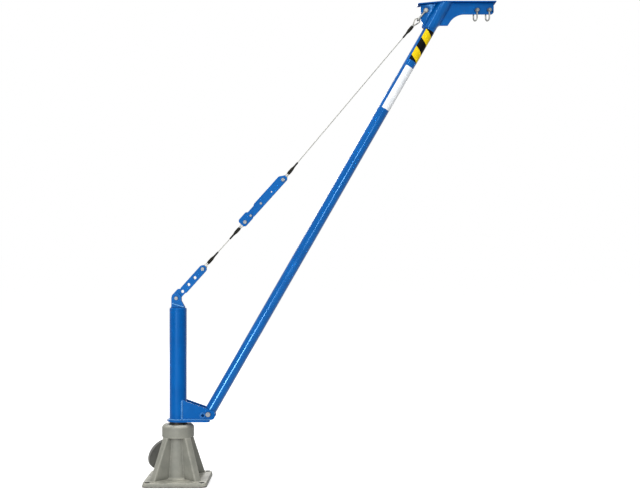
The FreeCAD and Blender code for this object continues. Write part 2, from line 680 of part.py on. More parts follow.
def shackle_bow(bar, inside, reach, eye, pin):
    """Bow that hangs along -Z from a pin along Y through the origin."""
    radius = (inside + bar) / 2
    leg = reach - radius
    near, far = V(0, -radius, 0), V(0, radius, 0)
    low_near, low_far = V(0, -radius, -leg), V(0, radius, -leg)
    path = Part.Wire([Part.LineSegment(near, low_near).toShape(),
                      Part.Arc(low_near, V(0, 0, -reach), low_far).toShape(),
                      Part.LineSegment(low_far, far).toShape()])
    section = Part.Wire(Part.makeCircle(bar / 2, near, V(0, 0, -1)))
    bow = path.makePipeShell([section], True, False)
    for side in (FRONT, REAR):
        bow = bow.fuse(cross_bar(ORIGIN, eye / 2, side * (radius - bar / 2), side * (radius + bar / 2)))
    return bow.cut(drill(ORIGIN, pin / 2 + RUNNING_GAP)).removeSplitter()


def shackle_pin(bar, inside, pin):
    outside = inside / 2 + bar
    return hex_bolt(ORIGIN, pin, -outside, outside)


def anchor_shackle(number):
    """Bow, pin and nut of one anchor shackle, yawed in its wide hole."""
    seat = ANCHOR_POINTS[number] - xz(0, ANCHOR_SAG)
    bow = shackle_bow(ANCHOR_BAR, ANCHOR_INSIDE, ANCHOR_REACH, ANCHOR_EYE, ANCHOR_PIN)
    pin, nut = shackle_pin(ANCHOR_BAR, ANCHOR_INSIDE, ANCHOR_PIN)
    for shape in (bow, pin, nut):
        shape.rotate(ORIGIN, Z_AXIS, ANCHOR_YAW)
        shape.translate(seat)
    return bow, pin, nut


LONG_ROPE_AXIS = (STAY_BOLT_POINT - stay_point(UPPER_ROPE_PIN)).normalize()


def stay_shackle():
    """Bow, bolt and nut of the shackle that ties the long rope to the head."""
    bow = shackle_bow(STAY_BAR, STAY_INSIDE, STAY_REACH, STAY_EYE, STAY_BOLT)
    pin, nut = shackle_pin(STAY_BAR, STAY_INSIDE, STAY_BOLT)
    lean = math.degrees(math.atan2(LONG_ROPE_AXIS.x, LONG_ROPE_AXIS.z))
    for shape in (bow, pin, nut):
        shape.rotate(ORIGIN, Y_AXIS, lean)
        shape.translate(STAY_BOLT_POINT)
    return bow, pin, nut


# Wire ropes

EYE_RADIUS = THIMBLE_INSIDE + THIMBLE_WALL + ROPE_DIAMETER / 2
EYE_MOUTH = ROPE_DIAMETER / 2 + SEAT_GAP / 2
EYE_TURN = math.atan2(EYE_MOUTH, EYE_LENGTH) + math.acos(EYE_RADIUS / math.hypot(EYE_LENGTH, EYE_MOUTH))
EYE_TAPER = math.atan2(EYE_RADIUS * math.sin(EYE_TURN) - EYE_MOUTH,
                       EYE_LENGTH - EYE_RADIUS * math.cos(EYE_TURN))


def eye_line(offset, along):
    """Distance from the rope's axis of a line that runs inside the eye's leg by an offset."""
    return EYE_MOUTH - offset / math.cos(EYE_TAPER) + (EYE_LENGTH - along) * math.tan(EYE_TAPER)


def eye_face(centre, axis, offset, tail):
    """Drop-shaped face: the eye's own line moved inwards by an offset, closed at its tail."""
    side = square_to(axis)
    radius = EYE_RADIUS - offset
    rise = eye_line(offset, tail)
    upper = centre + (axis * math.cos(EYE_TURN) + side * math.sin(EYE_TURN)) * radius
    lower = centre + (axis * math.cos(EYE_TURN) - side * math.sin(EYE_TURN)) * radius
    edges = [Part.Arc(upper, centre - axis * radius, lower).toShape()]
    if rise > TINY:
        ends = [centre + axis * tail - side * rise, centre + axis * tail + side * rise]
    else:
        ends = [centre + axis * (tail + rise / math.tan(EYE_TAPER))]
    for start, end in zip([lower] + ends, ends + [upper]):
        edges.append(Part.LineSegment(start, end).toShape())
    return Part.Face(Part.Wire(edges))


def eye_plate(centre, axis, offset, tail, near, far):
    outline = eye_face(centre, axis, offset, tail)
    outline.translate(V(0, near, 0))
    return outline.extrude(V(0, far - near, 0))


def thimble(centre, axis):
    """Grooved drop-shaped ring inside the eye of a rope."""
    half = THIMBLE_WIDTH / 2
    groove = ROPE_DIAMETER / 2 + SEAT_GAP / 2
    cheek_tail = EYE_LENGTH - ROPE_DIAMETER
    floor = ROPE_DIAMETER / 2 + RUNNING_GAP
    hollow = eye_plate(centre, axis, floor + THIMBLE_WALL, EYE_LENGTH, -half, half)
    body = eye_plate(centre, axis, floor, EYE_LENGTH, -groove, groove)
    for near, far in ((-half, -groove), (groove, half)):
        body = body.fuse(eye_plate(centre, axis, -THIMBLE_LIP, cheek_tail, near, far))
    return body.cut(hollow).removeSplitter()


def rope_eye(centre, axis):
    side = square_to(axis)
    along = axis * (EYE_RADIUS * math.cos(EYE_TURN))
    across = side * (EYE_RADIUS * math.sin(EYE_TURN))
    mouth = EYE_LENGTH - RUNNING_GAP - ROPE_DIAMETER / 2 * math.sin(EYE_TAPER)
    start = centre + axis * mouth + side * eye_line(0, mouth)
    end = centre + axis * mouth - side * eye_line(0, mouth)
    upper, lower = centre + along + across, centre + along - across
    path = Part.Wire([Part.LineSegment(start, upper).toShape(),
                      Part.Arc(upper, centre - axis * EYE_RADIUS, lower).toShape(),
                      Part.LineSegment(lower, end).toShape()])
    section = Part.Wire(Part.makeCircle(ROPE_DIAMETER / 2, start, upper - start))
    return path.makePipeShell([section], True, False)


def ferrule(centre, axis):
    start = centre + axis * EYE_LENGTH
    return round_bar(FERRULE_DIAMETER / 2, start, start + axis * FERRULE_LENGTH)


def sleeve(centre, axis):
    """Black cover over the ferrule, with a taper and a thin tail along the rope."""
    start = centre + axis * EYE_LENGTH
    ferrule_end = start + axis * FERRULE_LENGTH
    neck = start + axis * SLEEVE_LENGTH
    tail = neck + axis * SLEEVE_TAPER
    end = tail + axis * SLEEVE_TAIL
    fat, thin = SLEEVE_DIAMETER / 2, SLEEVE_TAIL_DIAMETER / 2
    wide, narrow = FERRULE_DIAMETER / 2 + RUNNING_GAP, ROPE_DIAMETER / 2 + RUNNING_GAP
    cover = round_bar(fat, start, neck).fuse(taper(fat, thin, neck, tail)).fuse(round_bar(thin, tail, end))
    hollow = round_bar(wide, start, ferrule_end).fuse(taper(wide, narrow, ferrule_end, neck))
    return cover.cut(hollow.fuse(round_bar(narrow, neck, end))).removeSplitter()


def rope_set(lower_eye, upper_eye):
    """Rope, thimbles, ferrules and sleeves between the centres of two eyes."""
    axis = (upper_eye - lower_eye).normalize()
    reach = axis * (EYE_LENGTH + FERRULE_LENGTH)
    ends = [(lower_eye, axis), (upper_eye, axis * -1)]
    straight = round_bar(ROPE_DIAMETER / 2, lower_eye + reach, upper_eye - reach)
    ropes = [straight] + [rope_eye(*end) for end in ends]
    fittings = [[make(*end) for end in ends] for make in (thimble, ferrule, sleeve)]
    return [ropes] + fittings


PIN_SEAT = THIMBLE_INSIDE - LINK_BOLT / 2 - EYE_SLACK    # from a pin to the centre of the eye on it
BOW_SEAT = THIMBLE_INSIDE - STAY_BAR / 2 - BOW_SLACK


def short_rope_set():
    return rope_set(stay_point(LINK_ROPE_PIN + PIN_SEAT), stay_point(LOWER_ROPE_PIN - PIN_SEAT))


def long_rope_set():
    lower_eye = stay_point(UPPER_ROPE_PIN) + LONG_ROPE_AXIS * PIN_SEAT
    upper_eye = STAY_BOLT_POINT - LONG_ROPE_AXIS * (STAY_REACH + BOW_SEAT)
    return rope_set(lower_eye, upper_eye)


# Lower link

LINK_HOLES = [LINK_PITCH, 2 * LINK_PITCH, 3 * LINK_PITCH]


def anchor_strap():
    """Strap on the mast's pin, whose narrow end is welded between the link bars."""
    high = LINK_WIDTH / 2 - STRAP_EDGE
    corners = [(-STRAP_BACK, -STRAP_BOTTOM, STRAP_BOTTOM),
               (STRAP_END, -STRAP_BOTTOM, 0), (STRAP_END, high, 0),
               (STRAP_NECK + STRAP_TOP - high, high, STRAP_EDGE), (STRAP_NECK, STRAP_TOP, STRAP_EDGE),
               (-STRAP_HEEL, STRAP_TOP, STRAP_EDGE), (-STRAP_BACK, STRAP_HEEL, STRAP_EDGE)]
    strap = stay_plate(corners, -STRAP_THICKNESS / 2, STRAP_THICKNESS / 2)
    strap = strap.cut(drill(stay_point(0), STAY_PIN_DIAMETER / 2 + RUNNING_GAP))
    return strap.cut(drill(stay_point(LINK_PITCH), LINK_HOLE / 2))


def link_bar(side):
    half = LINK_WIDTH / 2
    end = LINK_ROPE_PIN + half
    corners = [(LINK_START, -half, STRAP_EDGE), (end, -half, half), (end, half, half),
               (LINK_START, half, STRAP_EDGE)]
    bar = stay_plate(corners, side * LINK_INSIDE, side * LINK_OUTSIDE)
    for along in LINK_HOLES:
        bar = bar.cut(drill(stay_point(along), LINK_HOLE / 2))
    return bar.cut(drill(stay_point(LINK_ROPE_PIN), LINK_BOLT / 2 + BOLT_GAP))


def link_spacers():
    """Block between the link bars, and tube between the adjuster's straps."""
    half = LINK_SPACER_SIZE / 2
    low, high = LINK_SPACER_AT - half, LINK_SPACER_AT + half
    corners = [(low, -half, 0), (high, -half, 0), (high, half, 0), (low, half, 0)]
    block = stay_plate(corners, -LINK_INSIDE, LINK_INSIDE)
    point = stay_point(LOWER_ROPE_PIN + STRAP_BOLT_AT)
    tube = cross_bar(point, STRAP_BOLT, -ADJUSTER_INSIDE, ADJUSTER_INSIDE)
    return block, tube.cut(drill(point, STRAP_BOLT / 2 + RUNNING_GAP))


def link_bolt():
    return hex_bolt(stay_point(LINK_ROPE_PIN), LINK_BOLT, -LINK_OUTSIDE, LINK_OUTSIDE)


# Adjuster

def adjuster_strap(side):
    pin = LOWER_ROPE_PIN
    start, shoulder, end = pin - STRAP_HEAD_BACK, pin + STRAP_HEAD_END, pin + STRAP_LENGTH
    low, high = -STRAP_LOW, CHANNEL_HIGH - CHANNEL_WALL - SEAT_GAP
    neck = shoulder + STRAP_HEAD_HIGH - high
    corners = [(start, -STRAP_HEAD_LOW, ADJUSTER_CORNER), (shoulder, -STRAP_HEAD_LOW, STRAP_BEND),
               (neck, low, 0), (end, low, STRAP_CORNER), (end, high, STRAP_CORNER), (neck, high, 0),
               (shoulder, STRAP_HEAD_HIGH, STRAP_BEND), (start, STRAP_HEAD_HIGH, ADJUSTER_CORNER)]
    strap = stay_plate(corners, side * ADJUSTER_INSIDE, side * ADJUSTER_OUTSIDE)
    strap = strap.cut(drill(stay_point(pin), LINK_BOLT / 2 + BOLT_GAP))
    strap = strap.cut(drill(stay_point(pin + STRAP_BOLT_AT), STRAP_BOLT / 2 + BOLT_GAP))
    half = CLAMP_BOLT / 2 + SEAT_GAP
    first, last = pin + CLAMP_AT, pin + CLAMP_AT + ADJUSTER_TRAVEL
    slot = [(first - half, CLAMP_LINE - half, half), (last + half, CLAMP_LINE - half, half),
            (last + half, CLAMP_LINE + half, half), (first - half, CLAMP_LINE + half, half)]
    return strap.cut(stay_plate(slot, -CLEAR_THROUGH, CLEAR_THROUGH))


def strap_bolts():
    near, far = -ADJUSTER_OUTSIDE, ADJUSTER_OUTSIDE
    return zip(hex_bolt(stay_point(LOWER_ROPE_PIN), LINK_BOLT, near, far),
               hex_bolt(stay_point(LOWER_ROPE_PIN + STRAP_BOLT_AT), STRAP_BOLT, near, far))


def adjuster_channel():
    start, end = LOWER_ROPE_PIN + CHANNEL_START, UPPER_ROPE_PIN + CHANNEL_END
    corners = [(start, -CHANNEL_LOW, STRAP_EDGE), (end, -CHANNEL_LOW, ADJUSTER_CORNER),
               (end, CHANNEL_TIP, STRAP_EDGE), (end - CHANNEL_SLANT, CHANNEL_HIGH, 0),
               (start + CHANNEL_MOUTH, CHANNEL_HIGH, 0),
               (start + CHANNEL_MOUTH_BEND, CHANNEL_MOUTH_LINE, CHANNEL_MOUTH_RADIUS)]
    block = stay_plate(corners, -CHANNEL_OUTSIDE, CHANNEL_OUTSIDE)

    def on_web(vertex):
        return abs((vertex.Point - STAY_PIN_POINT).dot(STAY_UP) - CHANNEL_HIGH) < TINY

    bends = [edge for edge in block.Edges if edge.BoundBox.YLength < TINY and all(map(on_web, edge.Vertexes))]
    block = block.makeFillet(CHANNEL_BEND, bends)
    web = CHANNEL_HIGH - CHANNEL_WALL
    low = -CHANNEL_LOW - CLEAR_THROUGH
    before, past = start - CLEAR_THROUGH, end + CLEAR_THROUGH
    hollow = [(before, low, 0), (past, low, 0), (past, web, 0), (before, web, 0)]
    channel = block.cut(stay_plate(hollow, -CHANNEL_INSIDE, CHANNEL_INSIDE))
    for step in range(2):
        point = stay_point(LOWER_ROPE_PIN + CLAMP_AT + step * ADJUSTER_PITCH, CLAMP_LINE)
        channel = channel.cut(drill(point, CLAMP_BOLT / 2 + RUNNING_GAP))
    return channel.cut(drill(stay_point(UPPER_ROPE_PIN), LINK_BOLT / 2 + BOLT_GAP))


def channel_bolts():
    near, far = -CHANNEL_OUTSIDE, CHANNEL_OUTSIDE
    return zip(hex_bolt(stay_point(LOWER_ROPE_PIN + CLAMP_AT, CLAMP_LINE), CLAMP_BOLT, near, far),
               hex_bolt(stay_point(UPPER_ROPE_PIN), LINK_BOLT, near, far))


def rope_pin_spacer(side):
    point = stay_point(UPPER_ROPE_PIN)
    tube = cross_bar(point, ROPE_PIN_SPACER / 2, side * (THIMBLE_WIDTH / 2 + SEAT_GAP), side * CHANNEL_INSIDE)
    return tube.cut(drill(point, LINK_BOLT / 2 + RUNNING_GAP))


def save(node, *shapes):
    """Write one node; each of its solids is a separate piece."""
    solids = [solid for shape in shapes for solid in shape.Solids]
    for solid in solids:
        if not solid.isValid():
            print("invalid solid in", node)
    shape = solids[0] if len(solids) == 1 else Part.makeCompound(solids)
    shape.exportStep("parts/" + node + ".step")
    print(node, len(solids), round(sum(solid.Volume for solid in solids)))


os.makedirs("parts", exist_ok=True)

save("base_casting", base_casting())
save("upper_bush", upper_bush())
save("lower_bush", lower_bush())
save("thrust_washer", thrust_washer())
save("cap_hinge_pin", cap_hinge_pin(COLLAR_PIN))
save("cap_link", cap_link())
save("socket_cap", socket_cap())
save("cap_pin", cap_hinge_pin(CAP_PIN))

save("mast_tube", mast_tube())
save("spigot_tube", spigot_tube())
save("foot_plate", foot_plate())
save("foot_side_plate_front", foot_side_plate(FRONT))
save("foot_side_plate_rear", foot_side_plate(REAR))
save("lock_bosses", lock_boss(FRONT), lock_boss(REAR))
boom_pin, boom_pin_nut = hex_bolt(BOOM_PIN_POINT, BOOM_PIN_DIAMETER, -BRACKET_OUTSIDE, BRACKET_OUTSIDE)
save("boom_pin", boom_pin)
save("boom_pin_nut", boom_pin_nut)
save("mast_top_plate", mast_top_plate())
front_lug, rear_lug = mast_lug(FRONT), mast_lug(REAR)
save("mast_lug_front", front_lug)
save("mast_lug_rear", rear_lug)
save("rain_cover", rain_cover((front_lug, rear_lug)))
stay_pin, stay_pin_nut = hex_bolt(STAY_PIN_POINT, STAY_PIN_DIAMETER, -LUG_OUTSIDE, LUG_OUTSIDE)
save("stay_pin", stay_pin)
save("stay_pin_nut", stay_pin_nut)

save("boom_tube", boom_tube())
save("boom_foot_bush", boom_foot_bush())
save("head_cheek_front", head_cheek(FRONT))
save("head_cheek_rear", head_cheek(REAR))
for number in range(len(ANCHOR_POINTS)):
    bow, pin, nut = anchor_shackle(number)
    name = "anchor_shackle_%d" % (number + 1)
    save(name + "_bow", bow)
    save(name + "_pin", pin)
    save(name + "_nut", nut)
bow, bolt, nut = stay_shackle()
save("stay_shackle_bow", bow)
save("stay_shackle_bolt", bolt)
save("stay_shackle_nut", nut)

save("anchor_strap", anchor_strap())
save("link_bar_front", link_bar(FRONT))
save("link_bar_rear", link_bar(REAR))
save("link_spacers", *link_spacers())
bolt, nut = link_bolt()
save("link_bolt", bolt)
save("link_nut", nut)
for name, pieces in zip(("short_rope", "long_rope"), (short_rope_set(), long_rope_set())):
    ropes, thimbles, ferrules, sleeves = pieces
    save(name, *ropes)
    save(name + "_thimbles", *thimbles)
    save(name + "_ferrules", *ferrules)
    save(name + "_sleeves", *sleeves)
save("adjuster_strap_front", adjuster_strap(FRONT))
save("adjuster_strap_rear", adjuster_strap(REAR))
bolts, nuts = strap_bolts()
save("strap_bolts", *bolts)
save("strap_nuts", *nuts)
save("adjuster_channel", adjuster_channel())
bolts, nuts = channel_bolts()
save("channel_bolts", *bolts)
save("channel_nuts", *nuts)
save("rope_pin_spacers", rope_pin_spacer(FRONT), rope_pin_spacer(REAR))
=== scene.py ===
import json
import math

import bmesh
import bpy
import numpy as np
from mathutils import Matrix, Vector


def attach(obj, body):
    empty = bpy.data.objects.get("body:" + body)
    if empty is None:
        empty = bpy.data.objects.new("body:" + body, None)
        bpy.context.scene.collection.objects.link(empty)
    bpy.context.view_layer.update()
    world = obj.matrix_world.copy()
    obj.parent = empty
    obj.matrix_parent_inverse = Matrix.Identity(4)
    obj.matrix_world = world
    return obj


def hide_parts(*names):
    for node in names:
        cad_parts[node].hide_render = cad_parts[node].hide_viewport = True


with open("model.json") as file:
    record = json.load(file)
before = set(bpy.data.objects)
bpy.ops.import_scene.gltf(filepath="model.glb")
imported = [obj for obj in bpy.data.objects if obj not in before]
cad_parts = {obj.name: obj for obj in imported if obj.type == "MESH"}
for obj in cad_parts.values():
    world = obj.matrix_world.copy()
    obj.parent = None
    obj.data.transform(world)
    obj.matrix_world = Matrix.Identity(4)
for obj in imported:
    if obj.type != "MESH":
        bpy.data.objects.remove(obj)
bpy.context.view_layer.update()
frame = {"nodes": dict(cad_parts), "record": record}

# Floor socket. One iron casting of foot plate, tapered barrel, four ribs and collar, sand cast and
# painted stone grey. It is bolted to the floor through the four corner holes, empty here; each
# hole and a ring round its mouth are coloured dark, a painted shade down the hole.


def node(tree, kind, inputs, **settings):
    """Shader node of a kind; an input's value is a number, a colour or another node's socket."""
    made = tree.nodes.new("ShaderNode" + kind)
    for key, value in settings.items():
        setattr(made, key, value)
    for key, value in inputs.items():
        if isinstance(value, bpy.types.NodeSocket):
            tree.links.new(value, made.inputs[key])
        else:
            made.inputs[key].default_value = value
    return made


def effect(name, inputs, outputs):
    """Empty node group with named number inputs, given as a dict of defaults, and named outputs."""
    tree = bpy.data.node_groups.new(name, "ShaderNodeTree")
    for socket, value in inputs.items():
        made = tree.interface.new_socket(socket, in_out="INPUT", socket_type="NodeSocketFloat")
        made.default_value = value
    for socket in outputs:
        tree.interface.new_socket(socket, in_out="OUTPUT", socket_type="NodeSocketFloat")
    return tree, tree.nodes.new("NodeGroupInput").outputs, tree.nodes.new("NodeGroupOutput").inputs


def place(tree, group, **inputs):
    """Outputs of an effect set into a material with its own values; _ stands for a space."""
    made = tree.nodes.new("ShaderNodeGroup")
    made.node_tree = group
    for key, value in inputs.items():
        made.inputs[key.replace("_", " ")].default_value = value
    return made.outputs


def math_of(tree, operation, first, second):
    """Result of a two-number sum in the shader."""
    return node(tree, "Math", {0: first, 1: second}, operation=operation).outputs[0]


def object_noise(tree, scale, detail=3.0, roughness=0.5):
    """Noise on object coordinates; the scale counts waves to a metre."""
    at = node(tree, "TexCoord", {}).outputs["Object"]
    return node(tree, "TexNoise", {"Vector": at, "Scale": scale, "Detail": detail,
                                   "Roughness": roughness}).outputs["Fac"]


def spread(tree, value, low, high, to_low, to_high):
    """Value carried from one range to another, smoothly and held at the ends."""
    return node(tree, "MapRange", {"Value": value, "From Min": low, "From Max": high,
                                   "To Min": to_low, "To Max": to_high},
                interpolation_type="SMOOTHSTEP").outputs["Result"]


def mixed(tree, factor, first, second):
    """Colour between two others."""
    return node(tree, "Mix", {0: factor, 6: first, 7: second}, data_type="RGBA").outputs[2]


def rgb(red, green, blue):
    """Linear colour of an sRGB one that is given in steps of 255."""
    steps = np.array([red, green, blue]) / 255
    linear = np.where(steps <= 0.04045, steps / 12.92, ((steps + 0.055) / 1.055) ** 2.4)
    return (*linear.tolist(), 1.0)


def finish(name, metallic=0.0, gloss=0.5, tint=(1.0, 1.0, 1.0, 1.0)):
    """New material, its node tree and its Principled shader; gloss and tint are of its mirror light."""
    material = bpy.data.materials.new(name)
    material.use_nodes = True
    shader = material.node_tree.nodes["Principled BSDF"]
    shader.inputs["Metallic"].default_value = metallic
    shader.inputs["Specular IOR Level"].default_value = gloss
    shader.inputs["Specular Tint"].default_value = tint
    return material, material.node_tree, shader


def join(tree, shader, **sockets):
    """Feed the shader's inputs from other nodes; _ stands for a space."""
    for key, value in sockets.items():
        tree.links.new(value, shader.inputs[key.replace("_", " ")])


def raised(tree, height, distance, strength=1.0):
    """Surface normal of a relief whose full height is a distance in metres."""
    return node(tree, "Bump", {"Height": height, "Distance": distance,
                               "Strength": strength}).outputs["Normal"]


# Faces that look up are painted pale, broken up by noise: partly dust, partly a painted top light.
dust_and_top_light, _in, _out = effect("dust_and_top_light", {"Amount": 0.5}, ["Dust"])
_up = node(dust_and_top_light, "SeparateXYZ", {0: node(dust_and_top_light, "NewGeometry", {}).outputs["Normal"]})
_up = spread(dust_and_top_light, _up.outputs["Z"], 0.2, 1.0, 0.0, 1.0)
_cloud = spread(dust_and_top_light, object_noise(dust_and_top_light, 24.0, 5.0, 0.65), 0.35, 0.7, 0.3, 1.0)
_pale_tops = math_of(dust_and_top_light, "MULTIPLY", math_of(dust_and_top_light, "MULTIPLY", _up, _cloud), _in["Amount"])
dust_and_top_light.links.new(_pale_tops, _out["Dust"])

# Painted shade: inner corners, where little of the sky is seen, are darkened, broken up by noise.
painted_corner_shade, _in, _out = effect("painted_corner_shade", {"Reach": 0.03, "Amount": 0.5}, ["Grime"])
_open = node(painted_corner_shade, "AmbientOcclusion", {"Distance": _in["Reach"]}, samples=8).outputs["AO"]
_shut = spread(painted_corner_shade, _open, 0.35, 0.95, 1.0, 0.0)
_cloud = spread(painted_corner_shade, object_noise(painted_corner_shade, 60.0, 4.0), 0.3, 0.7, 0.5, 1.0)
_darkened = math_of(painted_corner_shade, "MULTIPLY", math_of(painted_corner_shade, "MULTIPLY", _shut, _cloud), _in["Amount"])
painted_corner_shade.links.new(_darkened, _out["Grime"])

# Painted highlight: outer edges, where rays sent into the piece soon meet another face, are lightened,
# broken up by noise.
painted_edge_light, _in, _out = effect("painted_edge_light", {"Reach": 0.01, "Amount": 0.5}, ["Wear"])
_thick = node(painted_edge_light, "AmbientOcclusion", {"Distance": _in["Reach"]}, samples=8, inside=True,
              only_local=True).outputs["AO"]
_edge = spread(painted_edge_light, _thick, 0.42, 0.95, 1.0, 0.0)
_cloud = spread(painted_edge_light, object_noise(painted_edge_light, 70.0, 4.0, 0.6), 0.3, 0.65, 0.45, 1.0)
_lit_edge = math_of(painted_edge_light, "MULTIPLY", math_of(painted_edge_light, "MULTIPLY", _edge, _cloud), _in["Amount"])
painted_edge_light.links.new(_lit_edge, _out["Wear"])

casting_paint, _tree, _shader = finish("casting_paint", gloss=0.3)
_cloud = spread(_tree, object_noise(_tree, 14.0, 4.0), 0.3, 0.7, 0.0, 1.0)
_grey = mixed(_tree, _cloud, rgb(119, 120, 112), rgb(135, 135, 126))
# Painted shade in corners and hollows.
_grey = mixed(_tree, place(_tree, painted_corner_shade, Reach=0.04, Amount=0.75)["Grime"], _grey, rgb(62, 61, 53))
# Pale up-facing faces: partly dust, partly a painted top light.
_grey = mixed(_tree, place(_tree, dust_and_top_light, Amount=0.9)["Dust"], _grey, rgb(206, 204, 190))
# Painted highlight on outer edges.
_grey = mixed(_tree, place(_tree, painted_edge_light, Reach=0.012, Amount=0.7)["Wear"], _grey, rgb(200, 198, 184))
# Darker painted shade down holes and along contact lines.
_grey = mixed(_tree, place(_tree, painted_corner_shade, Reach=0.014, Amount=1.0)["Grime"], _grey, rgb(34, 33, 28))
# Painted shade down each corner hole, and a dark ring on the plate round its mouth.
HOLE_MOUTH, HOLE_SHADE_REACH = (0.140, 0.140, 0.022), 0.0175
_at = node(_tree, "VectorMath", {0: node(_tree, "TexCoord", {}).outputs["Object"]}, operation="ABSOLUTE")
_gap = node(_tree, "VectorMath", {0: _at.outputs["Vector"], 1: HOLE_MOUTH}, operation="DISTANCE")
_hole_shade = spread(_tree, _gap.outputs["Value"], HOLE_SHADE_REACH - 0.003, HOLE_SHADE_REACH, 0.9, 0.0)
_grey = mixed(_tree, _hole_shade, _grey, rgb(46, 45, 38))
_sand = math_of(_tree, "ADD", object_noise(_tree, 420.0, 3.0, 0.6),
                math_of(_tree, "MULTIPLY", object_noise(_tree, 90.0, 2.0), 2.0))
join(_tree, _shader, Base_Color=_grey, Normal=raised(_tree, _sand, 0.0006, 0.7),
     Roughness=spread(_tree, _cloud, 0.0, 1.0, 0.5, 0.62))

BODY_OF = {name: body for body, names in frame["record"]["behaviour"]["bodies"].items() for name in names}


def put(name, mesh, material, cad_node):
    """New piece at the origin that stands for a CAD node and rides on the node's body."""
    mesh.materials.clear()
    mesh.materials.append(material)
    made = bpy.data.objects.new(name, mesh)
    bpy.context.scene.collection.objects.link(made)
    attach(made, BODY_OF[cad_node])
    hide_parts(cad_node)
    return made


MERGE_DISTANCE, FLAT_TURN = 2e-6, math.radians(0.5)


def merged(cad_node, name):
    """Mesh of a CAD node with its doubles merged and its flat faces joined."""
    form = bmesh.new()
    form.from_mesh(frame["nodes"][cad_node].data)
    bmesh.ops.remove_doubles(form, verts=form.verts, dist=MERGE_DISTANCE)
    bmesh.ops.dissolve_limit(form, angle_limit=FLAT_TURN, verts=form.verts, edges=form.edges)
    mesh = bpy.data.meshes.new(name)
    form.to_mesh(mesh)
    form.free()
    return mesh


def smooth(mesh, angle=30.0):
    """Shade smooth across edges that turn by less than an angle."""
    mesh.polygons.foreach_set("use_smooth", np.ones(len(mesh.polygons), dtype=bool))
    mesh.set_sharp_from_angle(angle=math.radians(angle))


def set_modifier(made, kind, **settings):
    """Add a modifier of a kind with its settings."""
    modifier = made.modifiers.new(kind.lower(), kind)
    for key, value in settings.items():
        setattr(modifier, key, value)


def as_cast(cad_node, name, material, grain, rounds, share):
    """Casting with the soft corners of a sand mould: remeshed at a grain, smoothed and thinned."""
    source = bpy.data.objects.new(name, merged(cad_node, name))
    bpy.context.scene.collection.objects.link(source)
    set_modifier(source, "REMESH", mode="VOXEL", voxel_size=grain)
    set_modifier(source, "SMOOTH", factor=0.5, iterations=rounds)
    set_modifier(source, "DECIMATE", ratio=share)
    shape = source.evaluated_get(bpy.context.evaluated_depsgraph_get())
    mesh = bpy.data.meshes.new_from_object(shape)
    bpy.data.objects.remove(source)
    mesh.polygons.foreach_set("use_smooth", np.ones(len(mesh.polygons), dtype=bool))
    return put(name, mesh, material, cad_node)


as_cast("base_casting", "floor_socket_casting", casting_paint, grain=0.0021, rounds=5, share=0.5)

# Bushes and thrust washer. Two bronze rings in the socket's bore and a black nylon ring on its
# collar, which the mast turns on.


def dress(material, *names):
    """Give CAD nodes a material."""
    for name in names:
        mesh = frame["nodes"][name].data
        mesh.materials.clear()
        mesh.materials.append(material)


bush_bronze, _tree, _shader = finish("bush_bronze", 1.0)
_cloud = object_noise(_tree, 60.0)
join(_tree, _shader, Base_Color=mixed(_tree, _cloud, rgb(150, 112, 62), rgb(186, 146, 88)),
     Roughness=spread(_tree, _cloud, 0.3, 0.7, 0.3, 0.42))
dress(bush_bronze, "upper_bush", "lower_bush")

washer_black, _tree, _shader = finish("washer_black", gloss=0.2)
_cloud = object_noise(_tree, 80.0)
join(_tree, _shader, Base_Color=mixed(_tree, _cloud, rgb(9, 10, 12), rgb(18, 19, 22)),
     Roughness=spread(_tree, _cloud, 0.3, 0.7, 0.42, 0.55))
dress(washer_black, "thrust_washer")

# Dust cap. A pressed lid on a short link that covers the socket when the mast is lifted out, both
# coloured a darker grey than the socket as a painted shade. It hangs on two plated pins from ears on the
# collar.

SHARP_TURN = math.radians(32.0)
SHEET_EDGE, BAR_EDGE, TUBE_EDGE = 0.0012, 0.001, 0.0008


def rounded(cad_node, name, material, width, segments=2):
    """CAD plate with its sharp edges rounded, as deburred and painted sheet has them."""
    made = put(name, merged(cad_node, name), material, cad_node)
    smooth(made.data)
    set_modifier(made, "BEVEL", width=width, segments=segments, limit_method="ANGLE",
                 angle_limit=SHARP_TURN, use_clamp_overlap=False, harden_normals=True)
    return made


shaded_cap_grey, _tree, _shader = finish("shaded_cap_grey", gloss=0.3)
# A grey darker than the socket's, a painted shade, with painted shade in its corners.
_cloud = spread(_tree, object_noise(_tree, 18.0, 4.0), 0.3, 0.7, 0.0, 1.0)
_grey = mixed(_tree, _cloud, rgb(104, 104, 101), rgb(118, 118, 114))
_grey = mixed(_tree, place(_tree, painted_corner_shade, Reach=0.02, Amount=0.4)["Grime"], _grey, rgb(52, 52, 48))
join(_tree, _shader, Base_Color=_grey, Roughness=spread(_tree, _cloud, 0.0, 1.0, 0.48, 0.6),
     Normal=raised(_tree, object_noise(_tree, 500.0), 0.0003, 0.5))
rounded("socket_cap", "dust_cap_lid", shaded_cap_grey, SHEET_EDGE)
rounded("cap_link", "dust_cap_link", shaded_cap_grey, BAR_EDGE)


def plating(name, dull, clean, rough):
    """Plated steel, cloudy between two greys, with painted shade darkening its corners."""
    material, tree, shader = finish(name, 1.0)
    cloud = spread(tree, object_noise(tree, 90.0, 4.0), 0.3, 0.7, 0.0, 1.0)
    shade_mask = place(tree, painted_corner_shade, Reach=0.012, Amount=0.95)["Grime"]
    join(tree, shader, Base_Color=mixed(tree, shade_mask, mixed(tree, cloud, dull, clean), rgb(34, 31, 26)),
         Roughness=spread(tree, cloud, 0.0, 1.0, rough, rough + 0.14))
    return material


zinc = plating("zinc", rgb(92, 95, 100), rgb(132, 133, 132), 0.48)
dress(zinc, "cap_hinge_pin", "cap_pin")

# Mast. A steel tube welded to a teardrop foot plate, with two bracket plates for the foot of the
# boom, all powder coated blue, and a bare turned spigot under it that stands in the socket.

PEEL_HEIGHT = 0.000014


